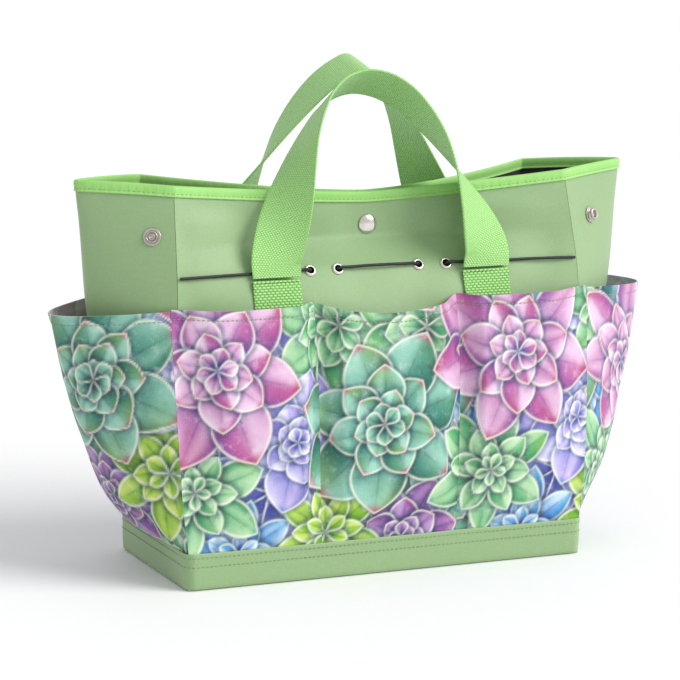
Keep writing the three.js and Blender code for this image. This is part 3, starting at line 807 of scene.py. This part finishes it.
BINDING_SEAM = 2.2       # the binding's seam lies this far above its lower edge


def binding_section():
    """Folded strip: flat sides, a round top, and raw lower edges that stand a little off the panel."""
    half, low = BINDING_THICK / 2, -BINDING_HEIGHT
    top = [(half * 0.8 * math.cos(a), -half + half * math.sin(a)) for a in np.linspace(0, math.pi, 9)]
    flat = [(half * 0.95, low), (half * 1.12, low + 0.5), (half * 0.7, low + 1.8), (half * 0.86, low + 3.2),
            (half * 0.98, low + 5)]
    return np.array(flat + top + [(-out, up) for out, up in reversed(flat)])


def add_binding(side, hand, label, join_name):
    path, outward, down = rim_path(side, hand)
    length = np.concatenate([[0], np.cumsum(np.linalg.norm(np.diff(path, axis=0), axis=1))])
    middle = path - outward * FABRIC / 2
    section = binding_section()
    pucker = 0.28 * np.sin(length * 2 * math.pi / 6.3 + 2 * np.sin(length / 31)) + 0.2 * np.sin(length / 4.1)
    tension = 0.5 + 0.5 * np.sin(length / 47 + side + hand)
    rings = []
    for i in range(len(path)):
        width = section[:, 0] * (1 + 0.28 * pucker[i] * tension[i] * (section[:, 1] < -2))
        sag = 0.5 * np.sin(length[i] / 23 + side)
        drop = section[:, 1] * (1 + 0.03 * sag)
        rings.append(middle[i] + width[:, None] * outward[i] - drop[:, None] * down[i])
    piece = loft(f"binding_{join_name}", np.array(rings), [BINDING])
    seam = path + down * (BINDING_HEIGHT - BINDING_SEAM)
    face = BINDING_THICK / 2 * 0.72
    thread_out = stitches(f"thread_{join_name}", seam + outward * (face - FABRIC / 2), outward,
                          GREEN_THREAD)
    thread_in = stitches(f"thread_in_{join_name}", seam - outward * (face + FABRIC / 2), outward,
                         GREEN_THREAD)
    piece = join(f"binding_{join_name}", [piece, thread_out, thread_in])
    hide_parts(f"binding_{label[0]}", f"binding_{label[1]}")
    follow_corner(piece)


# ---- stitching ----
def stitches(name, path, outward, material, pitch=3.3, length=2.5, radius=0.26):
    """A row of short sunk threads along a path; outward holds the way out of the cloth at each point."""
    travel = np.concatenate([[0], np.cumsum(np.linalg.norm(np.diff(path, axis=0), axis=1))])
    count = max(int(travel[-1] / pitch), 1)
    starts = (np.arange(count) + 0.5) * travel[-1] / count - length / 2
    bits = np.array([0.0, 0.18, 0.5, 0.82, 1.0])
    swell = np.array([0.25, 0.9, 1.0, 0.9, 0.25])
    lift = np.array([-0.5, 0.35, 0.6, 0.35, -0.5])
    turn = np.linspace(0, 2 * math.pi, 6, endpoint=False)
    vertices, quads = [], []
    for start in starts:
        at = start + bits * length
        point = np.stack([np.interp(at, travel, path[:, c]) for c in range(3)], -1)
        out = unit(np.stack([np.interp(at, travel, outward[:, c]) for c in range(3)], -1))
        run = unit(np.gradient(point, axis=0))
        side = unit(np.cross(run, out))
        centre = point + out * (lift * radius)[:, None]
        ring = centre[:, None] + (radius * swell)[:, None, None] * (
            np.cos(turn)[None, :, None] * side[:, None] + np.sin(turn)[None, :, None] * out[:, None])
        base = len(vertices) * 30
        vertices.append(ring.reshape(-1, 3))
        for j in range(4):
            for k in range(6):
                a, b = base + j * 6 + k, base + j * 6 + (k + 1) % 6
                quads.append((a, b, b + 6, a + 6))
        quads.append((base + 3, base + 2, base + 1, base))
        quads.append((base, base + 5, base + 4, base + 3))
        top = base + 24
        quads.append((top, top + 1, top + 2, top + 3))
        quads.append((top + 3, top + 4, top + 5, top))
    return new_mesh(name, np.concatenate(vertices), quads, [material], None,
                    np.zeros((len(vertices) * 30, 2)), smooth_angle=None)


# ---- pockets ----
STANDOFF = 12.0
HEM = 6.5            # the hem's stitching lies this far below a pocket's top edge


def hem_relief(depth):
    """How far the doubled hem stands proud, by depth below the top edge in millimetres."""
    return 0.5 * smooth(HEM + 1.5, HEM - 1, depth) - 0.55 * np.exp(-((depth - HEM) / 0.9) ** 2)


def pocket_fullness(z):
    t = np.clip((z - WALL_BOTTOM) / (POCKET_TOP_Z - WALL_BOTTOM), 0, 1)
    return np.sin(math.pi * np.minimum(t * 0.72, 0.5)) ** 0.8


POCKET_BOTTOM = WALL_BOTTOM + 2.6
CORNER_OUT = 1.9         # the pockets stand this far outside the corner seams
TOP_FLARE = 3.4          # and this much further at their tops
SIDE_BULGE = 70          # how far a side pocket's top stands out in the middle
# name, start and end across the face, and how far the top edge sags
FACE_POCKETS = [("left", -CORNER_X, -DIVIDER_X, 1.0), ("middle", -DIVIDER_X, DIVIDER_X, 8.5),
                ("right", DIVIDER_X, CORNER_X, 1.0)]


def face_pocket_grid(side, start, stop, sag, spacing):
    columns = int(abs(stop - start) / spacing) + 2
    rows = int(170 / spacing)
    u = np.linspace(0, 1, columns)
    bow = np.sin(math.pi * np.clip(u, 0, 1))
    at_divider = [abs(abs(end) - DIVIDER_X) < 1 for end in (start, stop)]
    v = np.linspace(0, 1, rows)[:, None]
    top = POCKET_TOP_Z + 0.8 - sag * bow ** 0.8
    z = lerp(POCKET_BOTTOM, top[None], v)
    spread = (seam_x(z) + CORNER_OUT * smooth(22, 60, z) + TOP_FLARE * v) / CORNER_X
    x = lerp(start, stop, u)[None] * spread
    bow_left = smooth(0, 0.15 if at_divider[0] else 0.32, u)
    bow_right = smooth(1, 0.85 if at_divider[1] else 0.68, u)
    shape = (bow_left * bow_right)[None] * (0.86 + 0.14 * bow[None])
    relax = 1.3 * ripple(x, z, 19, 0.5 + start / 90) + 0.6 * ripple(x, z, 8.5, 1.1 + start / 70)
    stand = (0.3 + 0.8 * smooth(22, 60, z) + STANDOFF * pocket_fullness(z) * shape
             + relax * shape * smooth(WALL_BOTTOM, 60, z))
    gather = 0.9 * np.sin(u * 21)[None] * smooth(60, WALL_BOTTOM, z) * smooth(WALL_BOTTOM - 2, 40, z)
    depth = top[None] - z
    across = np.clip(np.abs(x) / seam_x(z), 0, 1)
    y = face_depth(across, z, side) + stand + gather * shape + hem_relief(depth)
    return np.stack([x, side * y, z], -1)


def add_face_pockets(side, label, spacing, shift):
    for name, start, stop, sag in FACE_POCKETS:
        points = face_pocket_grid(side, start + 0.03, stop - 0.03, sag, spacing)
        piece = cloth(f"{label}_{name}_pocket_cloth", points, PRINT, np.array([0, side, 0]),
                      [PRINTED, REVERSE, REVERSE])
        middle = (start + stop) / 2 * -side
        add_paint(piece, (middle + shift, WALL_BOTTOM))
        depth = np.abs(points[:, :, 2] - (points[-1, :, 2] - HEM)[None])
        row = depth[:, depth.shape[1] // 2].argmin()
        line = points[row] + [0, side * 0.1, 0]
        line = np.stack([line[:, 0], line[:, 1], points[-1, :, 2] - HEM], -1)
        normal = grid_normals(points)[row]
        normal = normal * np.sign(normal[:, 1:2].mean() * side)
        hem = stitches(f"{label}_{name}_hem_thread", line, normal, PRINT_THREAD)
        for thing in (piece, hem):
            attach(thing, "body")
        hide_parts(f"{label}_{name}_pocket")


# side, name, power of the bulge's rise, and the pocket's place on the printed cloth
FLANK_POCKETS = [(-1, "left", 0.5, (176, -28)), (1, "right", 0.3, (60, 22))]


def add_flank_pockets(spacing):
    for hand, label, fullness, shift in FLANK_POCKETS:
        along = np.linspace(-1, 1, int(235 / spacing))
        along = np.sign(along) * np.abs(along) ** 1.05
        bulge = 1 - np.abs(along) ** 1.8
        v = np.linspace(0, 1, int(170 / spacing))[:, None]
        top = POCKET_TOP_Z - 0.6 - 6 * bulge
        z = lerp(POCKET_BOTTOM, top[None], v)
        rise = np.clip((z - BAND_HEIGHT) / (top[None] - BAND_HEIGHT), 0, 1)
        x = (seam_x(z) + CORNER_OUT * smooth(22, 60, z) + TOP_FLARE * v
             + SIDE_BULGE * rise ** fullness * bulge[None])
        depth = top[None] - z
        y = np.where(along < 0, along * seam_front_y(z), along * seam_back_y(z)) + 0 * z
        relax = 2.0 * ripple(y * 1.4, z, 21, 0.8 * hand) + 0.8 * ripple(y * 1.4, z, 9, 1.7)
        x = x + (relax * smooth(1, 0.75, np.abs(along)) * smooth(30, 70, z)) + hem_relief(depth)
        points = np.stack([hand * x, y + along * 0.9 * smooth(22, 60, z), z], -1)
        piece = cloth(f"{label}_side_pocket_cloth", points, PRINT, np.array([hand, 0, 0]),
                      [PRINTED, REVERSE, REVERSE])
        add_paint(piece, shift)
        line = points[np.abs(depth[:, 0] - HEM).argmin()]
        line = np.stack([line[:, 0], line[:, 1], points[-1, :, 2] - HEM], -1)
        normal = np.stack([hand * np.ones(len(line)), line[:, 1] / 60, 0 * line[:, 0]], -1)
        hem = stitches(f"{label}_side_hem_thread", line, unit(normal), PRINT_THREAD)
        for thing in (piece, hem):
            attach(thing, "body")
        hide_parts(f"{label}_side_pocket")


# ---- base band ----
def rounded_base(radius, inset=0.0, steps=14, straight=40):
    """Plan of the base as a closed loop with outward directions."""
    points, outward = [], []
    hx, hy = BASE_HALF_X - inset, BASE_HALF_Y - inset
    corners = [(hx - radius, -hy + radius, -90), (hx - radius, hy - radius, 0),
               (-hx + radius, hy - radius, 90), (-hx + radius, -hy + radius, 180)]
    for n, (cx, cy, turn) in enumerate(corners):
        for a in np.linspace(turn, turn + 90, steps):
            d = np.array([math.cos(math.radians(a)), math.sin(math.radians(a))])
            points.append([cx + radius * d[0], cy + radius * d[1]])
            outward.append(d)
        nx, ny, nturn = corners[(n + 1) % 4]
        d = np.array([math.cos(math.radians(nturn)), math.sin(math.radians(nturn))])
        a = np.array(points[-1])
        b = np.array([nx + radius * d[0], ny + radius * d[1]])
        for t in np.linspace(0, 1, straight)[1:-1]:
            points.append(list(lerp(a, b, t)))
            outward.append(d)
    return np.array(points), np.array(outward)


def add_base():
    plan, outward = rounded_base(7.0)
    travel = np.cumsum(np.linalg.norm(np.diff(plan, axis=0, prepend=plan[-1:]), axis=1))
    wall = [(-3.6, 0.0), (-1.2, 0.4), (-0.2, 1.6), (0.0, 4), (0.25, 9), (0.3, 15), (0.2, 20), (0.35, 23.5),
            (0.5, 25.0), (0.1, 25.7), (-0.7, 25.7), (-1.1, 25.0), (-1.4, 20), (-1.6, 9), (-2.4, 2.6),
            (-3.6, 1.6)]
    wave = 0.35 * np.sin(travel / 29) + 0.2 * np.sin(travel / 11)
    rings = []
    for i in range(len(plan)):
        ring = [[*(plan[i] + outward[i] * (s + 0.25 * wave[i] * (z > 5))), z + 0.4 * wave[i] * (z > 20)]
                for s, z in wall]
        rings.append(ring)
    band = loft("base_band", np.array(rings), [SAGE], closed=True)
    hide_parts("band_front", "band_back", "band_left", "band_right")
    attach(band, "body")
    rows = []
    for z in (22.6, 16.4):
        line = np.column_stack([plan + outward * 0.35, np.full(len(plan), z) + 0.4 * wave * (z > 20)])
        line = np.concatenate([line, line[:1]])
        out = np.column_stack([outward, np.zeros(len(plan))])
        out = np.concatenate([out, out[:1]])
        rows.append(stitches(f"band_row_{z}", line, out, SAGE_THREAD))
    thread = join("band_thread", rows)
    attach(thread, "body")
    for node, material in (("bottom_panel", SAGE), ("base_board", LINING)):
        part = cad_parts[node]
        part.data.materials.clear()
        part.data.materials.append(material)


# ---- handles ----
STRAP_CLEAR, FOOT_RISE = 3.2, 1.3
TWIST_BOTTOM_Z, TWIST_TOP_Z = 210, 346
# half is half of a centre line, as (across, up) points from the foot towards the top
HANDLES = {
    "front": dict(side=-1, top_y=-9, tilt=33, sway=-2, top=339, half=[
        (80, 209), (80.4, 221), (76.2, 238), (69.2, 258.5), (60.5, 280.5), (51.6, 299), (41.4, 314.5),
        (30.2, 327), (16.5, 335.6)]),
    "back": dict(side=1, top_y=11, tilt=12, sway=2, top=351, half=[
        (80, 209), (81, 222), (77, 242), (68, 262), (59, 281), (51, 297), (42, 312), (31.5, 326.5),
        (21, 338), (10, 346.5)]),
}
HANDLE_X = 80.0
TWIST_POWER = 0.66
TAIL_TOP_Z, TAIL_BOTTOM_Z = STITCH_Z - 0.9, 120
CROSS_ROW_Z = STITCH_Z - 2.2


def strap_section():
    """Flat webbing with rounded selvages, as (across, out) pairs."""
    half, thick = WEBBING_WIDTH / 2, WEBBING / 2
    selvage = 2.2
    top = [(a, thick * (1.0 if abs(a) < half - selvage else 1.12))
           for a in np.linspace(-half + 0.9, half - 0.9, 26)]
    right = [(half - 0.25, thick * 0.75), (half, 0.0), (half - 0.25, -thick * 0.75)]
    bottom = [(a, -h) for a, h in reversed(top)]
    left = [(-half + 0.25, -thick * 0.75), (-half, 0.0), (-half + 0.25, thick * 0.75)]
    return np.array(top + right + bottom + left)


def strap(name, path, across, material, square=0.0):
    """Webbing along a path, with its ends cut level over a length of square millimetres."""
    tangent = unit(np.gradient(path, axis=0))
    if square:
        upright = smooth(square, 0, path[:, 2] - path[:, 2].min())[:, None]
        tangent = unit(lerp(tangent, np.sign(tangent[:, 2:]) * [0.0, 0.0, 1.0], upright))
    across = unit(across - tangent * np.sum(across * tangent, -1, keepdims=True))
    normal = unit(np.cross(tangent, across))
    section = strap_section()
    rings = path[:, None] + section[None, :, :1] * across[:, None] + section[None, :, 1:] * normal[:, None]
    return loft(name, rings, [material])


def add_handle(label, side, top_y, tilt, sway, top, half):
    foot = face_point(np.array([HANDLE_X / seam_x(STITCH_Z)]), np.array([STITCH_Z]), side)[0]
    foot_y = foot[1] + side * (FABRIC + STRAP_CLEAR)

    def place(x, z):
        rise = (z - STITCH_Z) / (top - STITCH_Z)
        foot_rise = FOOT_RISE if z == STITCH_Z else 0
        return x + sway * rise, lerp(foot_y, top_y, rise ** 2), z + foot_rise

    points = [place(-x, z) for x, z in half] + [place(0, top)] + [place(x, z) for x, z in reversed(half)]
    path = evenly(catmull(points, 400), 260)
    turn = smooth(TWIST_BOTTOM_Z, TWIST_TOP_Z, path[:, 2]) ** TWIST_POWER * math.pi / 2
    hand = np.where(path[:, 0] < 0, -1, 1)
    edge = math.radians(tilt)
    across = np.stack([hand * np.cos(turn), -side * np.sin(turn) * math.cos(edge),
                       -np.sin(turn) * math.sin(edge)], -1)
    piece = strap(f"{label}_handle_webbing", path, across, STRAP, square=14.0)
    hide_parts(f"{label}_handle")
    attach(piece, f"{label}_handle")
    for hand, name in ((-1, "left"), (1, "right")):
        add_tail(label, side, hand, name)


def add_tail(label, side, hand, name):
    """Sewn lower end of a strap, from the cross stitch down inside the pocket."""
    z = np.linspace(TAIL_TOP_Z, TAIL_BOTTOM_Z, 60)
    x = np.full(len(z), hand * HANDLE_X)
    body = face_point(x / seam_x(z), z, side)
    off = lerp(1.4, STRAP_CLEAR - 0.4, smooth(198, 209, z))
    path = np.stack([x, body[:, 1] + side * off, z], -1)
    across = np.tile([float(side), 0.0, 0.0], (len(z), 1))
    edges = [face_depth(np.abs(HANDLE_X + w) / seam_x(z), z, side) for w in (-9, 9)]
    across[:, 1] = hand * (edges[1] - edges[0]) / 18
    piece = strap(f"{label}_{name}_strap_end", path, across, SEWN_STRAP)
    width = np.linspace(-WEBBING_WIDTH / 2 + 1.5, WEBBING_WIDTH / 2 - 1.5, 30)
    row_y = np.interp(CROSS_ROW_Z, path[::-1, 2], path[::-1, 1]) + side * (WEBBING / 2 + 0.15)
    line = np.stack([hand * HANDLE_X + width, np.full(30, row_y), np.full(30, CROSS_ROW_Z)], -1)
    line[:, 1] += hand * width * across[0, 1]
    thread = stitches(f"{label}_{name}_cross_thread", line, np.tile([0.0, side, 0.0], (30, 1)), DARK_THREAD,
                      pitch=3.0, length=2.1)
    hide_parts(f"{label}_{name}_strap_tail")
    for thing in (piece, thread):
        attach(thing, "body")


# ---- metal fittings ----
def turned(name, outline, place, normal, material, segments=40):
    """Turned piece: outline is (radius, height) pairs round a closed shape, standing along a normal."""
    outline = np.asarray(outline, float)
    axis = unit(np.asarray(normal, float))
    side = unit(np.cross(axis, [0.0, 0.0, 1.0] if abs(axis[2]) < 0.9 else [1.0, 0.0, 0.0]))
    other = np.cross(axis, side)
    turn = np.linspace(0, 2 * math.pi, segments, endpoint=False)
    spoke = np.cos(turn)[:, None] * side + np.sin(turn)[:, None] * other
    radius = np.maximum(outline[:, 0], 0.02)
    rings = np.asarray(place) + radius[None, :, None] * spoke[:, None] + outline[None, :, 1:] * axis
    return loft(name, rings, [material], closed=True)


def arc(cx, cy, radius, start, stop, steps=6):
    return [(cx + radius * math.cos(math.radians(a)), cy + radius * math.sin(math.radians(a)))
            for a in np.linspace(start, stop, steps)]


def cap_outline():
    dome = [(6.7 * math.sin(a), 0.8 + 1.9 * math.cos(a) ** 1.2) for a in np.linspace(0, 1.35, 12)]
    return dome + arc(6.45, 0.75, 0.35, 20, -90, 5) + [(1.5, 0.4), (1.5, -1.4), (0, -1.4)]


def socket_outline():
    """Flanged ring with a deep groove, so that it reads as concentric rings from outside."""
    return ([(5.6, 0.3)] + arc(5.7, 0.8, 0.45, -60, 110, 6) + [(4.7, 1.0), (4.5, 0.7), (4.2, 0.7), (4.0, 1.7)]
            + arc(3.55, 1.9, 0.4, 0, 180, 6) + [(3.0, 1.2), (2.6, 1.0), (2.4, 1.5)]
            + arc(1.9, 1.6, 0.4, 0, 150, 5) + [(1.2, 1.0), (0, 0.8), (0, 0.3)])


def stud_outline():
    """Flange with a waisted barrel standing out of it, hollow at the end."""
    return ([(5.6, 0.3)] + arc(5.6, 0.75, 0.4, -60, 110, 6) + [(4.0, 1.1), (3.5, 1.5), (3.2, 2.2), (3.5, 2.9)]
            + arc(3.6, 3.7, 0.7, -50, 120, 7)
            + [(2.6, 4.2), (2.3, 3.6), (2.2, 2.2), (1.2, 1.9), (0, 1.8), (0, 0.3)])


def eyelet_outline():
    return (arc(3.9, 0.25, 0.5, -60, 60, 5) + arc(3.2, 0.5, 0.72, 60, 170, 7)
            + [(2.5, 0.0), (2.6, -2.2), (3.0, -2.2), (3.05, 0.0)])


def washer_outline():
    return arc(4.1, -1.6, 0.3, -90, 90, 5) + arc(3.3, -1.6, 0.3, 90, 270, 5)


def add_fitting(name, outline, place, normal, body, node, material=None, depth=0.0):
    at = np.asarray(place) + np.asarray(normal) * depth
    piece = turned(name, outline, at, normal, material or NICKEL)
    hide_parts(node)
    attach(piece, body)


def add_metal():
    for side, label, inner, outline in ((-1, "front", "snap_socket", socket_outline()),
                                        (1, "back", "snap_stud", stud_outline())):
        place, normal = face_place(0, SNAP_Z, side)
        body = MOUTH[side][0]
        add_fitting(f"{label}_snap_cap_metal", cap_outline(), place, normal, body, f"snap_cap_{label}")
        short = [(r, h * (0.8 if side < 0 else 0.38)) for r, h in outline]
        add_fitting(f"{inner}_metal", short, place, -normal, body, inner, BRUSHED, FABRIC)
    for hand, end in ((-1, "left"), (1, "right")):
        for side, face in ((-1, "front"), (1, "back")):
            kind = "socket" if hand == side else "stud"
            outline = socket_outline() if kind == "socket" else stud_outline()
            place, normal = flank_place(side * SNAP_ALONG[hand], SNAP_Z, hand)
            add_fitting(f"side_{kind}_{end}_{face}_metal", outline, place, normal, "body",
                        f"side_{kind}_{end}_{face}", BRUSHED)
            add_fitting(f"side_cap_{end}_{face}_metal", cap_outline(), place, -normal, "body",
                        f"side_cap_{end}_{face}", NICKEL, FABRIC)
    for i, x in enumerate(EYELET_X):
        place, normal = face_place(x, EYELET_Z, -1)
        add_fitting(f"eyelet_{i + 1}_metal", eyelet_outline(), place, normal, "body", f"eyelet_{i + 1}")
        add_fitting(f"eyelet_washer_{i + 1}_metal", washer_outline(), place, normal, "body",
                    f"eyelet_washer_{i + 1}", BRUSHED)


# ---- elastic cord ----
# Distance from the middle and height off the cloth, from a corner seam to the middle of the front.
CORD_HALF = [
    (151, 1.5), (140, 2.2), (112, 2.2), (101, 1.7), (80, 1.5), (60, 1.7), (54, 2.4), (52.3, 1), (51.8, -1.6),
    (50.4, -4), (47, -5.2), (41.5, -5.6), (36, -5.2), (32.6, -4), (31.2, -1.6), (30.7, 1), (29, 2.4),
    (22, 2.5), (10, 3),
]
CORD_RADIUS = 1.05


def add_cord():
    points = []
    for hand in (1, -1):
        run = CORD_HALF if hand == 1 else list(reversed(CORD_HALF))
        for x, off in run:
            place, normal = face_place(hand * x, EYELET_Z, -1)
            points.append(place + normal * off)
    path = evenly(catmull(points, 900), 420)
    tangent = unit(np.gradient(path, axis=0))
    upward = np.array([0.0, 0.3, 1.0])
    up = unit(upward - tangent * (tangent @ upward)[:, None])
    side = np.cross(tangent, up)
    turn = np.linspace(0, 2 * math.pi, 12, endpoint=False)
    cosine, sine = np.cos(turn)[None, :, None], np.sin(turn)[None, :, None]
    ring = CORD_RADIUS * (cosine * side[:, None] + sine * up[:, None])
    piece = loft("elastic_cord_braid", path[:, None] + ring, [ELASTIC])
    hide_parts("elastic_cord")
    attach(piece, "body")


# ---- camera, light and floor ----
CAMERA_PLACE = (-0.8896, -1.9452, 0.5471)
CAMERA_YAW, CAMERA_PITCH, CAMERA_ROLL = 24.3, 10.42, 0.896
CAMERA_LENS = 161.85


def add_camera():
    yaw, pitch, roll = (math.radians(a) for a in (CAMERA_YAW, CAMERA_PITCH, CAMERA_ROLL))
    forward = Vector((math.sin(yaw) * math.cos(pitch), math.cos(yaw) * math.cos(pitch), -math.sin(pitch)))
    right = Vector((math.cos(yaw), -math.sin(yaw), 0))
    up = right.cross(forward)
    turned_right = math.cos(roll) * right + math.sin(roll) * up
    turned_up = -math.sin(roll) * right + math.cos(roll) * up
    camera = bpy.data.objects.new("camera", bpy.data.cameras.new("camera"))
    bpy.context.scene.collection.objects.link(camera)
    camera.matrix_world = Matrix((
        (turned_right.x, turned_up.x, -forward.x, CAMERA_PLACE[0]),
        (turned_right.y, turned_up.y, -forward.y, CAMERA_PLACE[1]),
        (turned_right.z, turned_up.z, -forward.z, CAMERA_PLACE[2]),
        (0, 0, 0, 1),
    ))
    camera.data.lens = CAMERA_LENS
    camera.data.sensor_width = 36
    camera.data.clip_start = 0.01
    bpy.context.scene.camera = camera


def add_sun(name, toward, power, spread, tint=(1.0, 1.0, 1.0)):
    data = bpy.data.lights.new(name, "SUN")
    data.angle = math.radians(spread)
    data.energy = power
    data.color = tint
    light = bpy.data.objects.new(name, data)
    bpy.context.scene.collection.objects.link(light)
    light.rotation_mode = "QUATERNION"
    light.rotation_quaternion = Vector(toward).to_track_quat("Z", "Y")


def add_stage():
    shade = Shade("studio_floor")
    cloud = shade.noise(shade.place(), 1.6, 2.0)
    color = shade.mix(shade.spread(cloud, 0.3, 0.7), (0.87, 0.87, 0.88), (0.89, 0.89, 0.90))
    floor_material = shade.finish(color, 0.7, Specular_IOR_Level=0.2)
    bpy.ops.mesh.primitive_grid_add(x_subdivisions=20, y_subdivisions=20, size=60, location=(0, 0, -0.0004))
    floor = bpy.context.object
    floor.name = "studio_floor"
    floor.data.materials.append(floor_material)
    world = bpy.data.worlds.new("studio")
    bpy.context.scene.world = world
    world.use_nodes = True
    background = world.node_tree.nodes["Background"]
    background.inputs["Color"].default_value = (0.98, 0.985, 1.0, 1)
    background.inputs["Strength"].default_value = 0.72
    bpy.context.scene.view_settings.view_transform = "Standard"
    add_sun("key", (0.74, -0.62, 0.66), 2.7, 38, (1.0, 0.99, 0.97))


add_camera()
add_stage()
add_base()
add_face(-1, "front")
add_face(1, "back")
add_flank(-1, "left")
add_flank(1, "right")
for side, face in ((-1, "front"), (1, "back")):
    for hand, end in ((-1, "left"), (1, "right")):
        add_binding(side, hand, (face, end), f"{face}_{end}")
add_face_pockets(-1, "front", 0.9, 157.5)
add_face_pockets(1, "back", 1.3, 90)
add_flank_pockets(1.3)
for label, shape in HANDLES.items():
    add_handle(label, **shape)
add_metal()
add_cord()
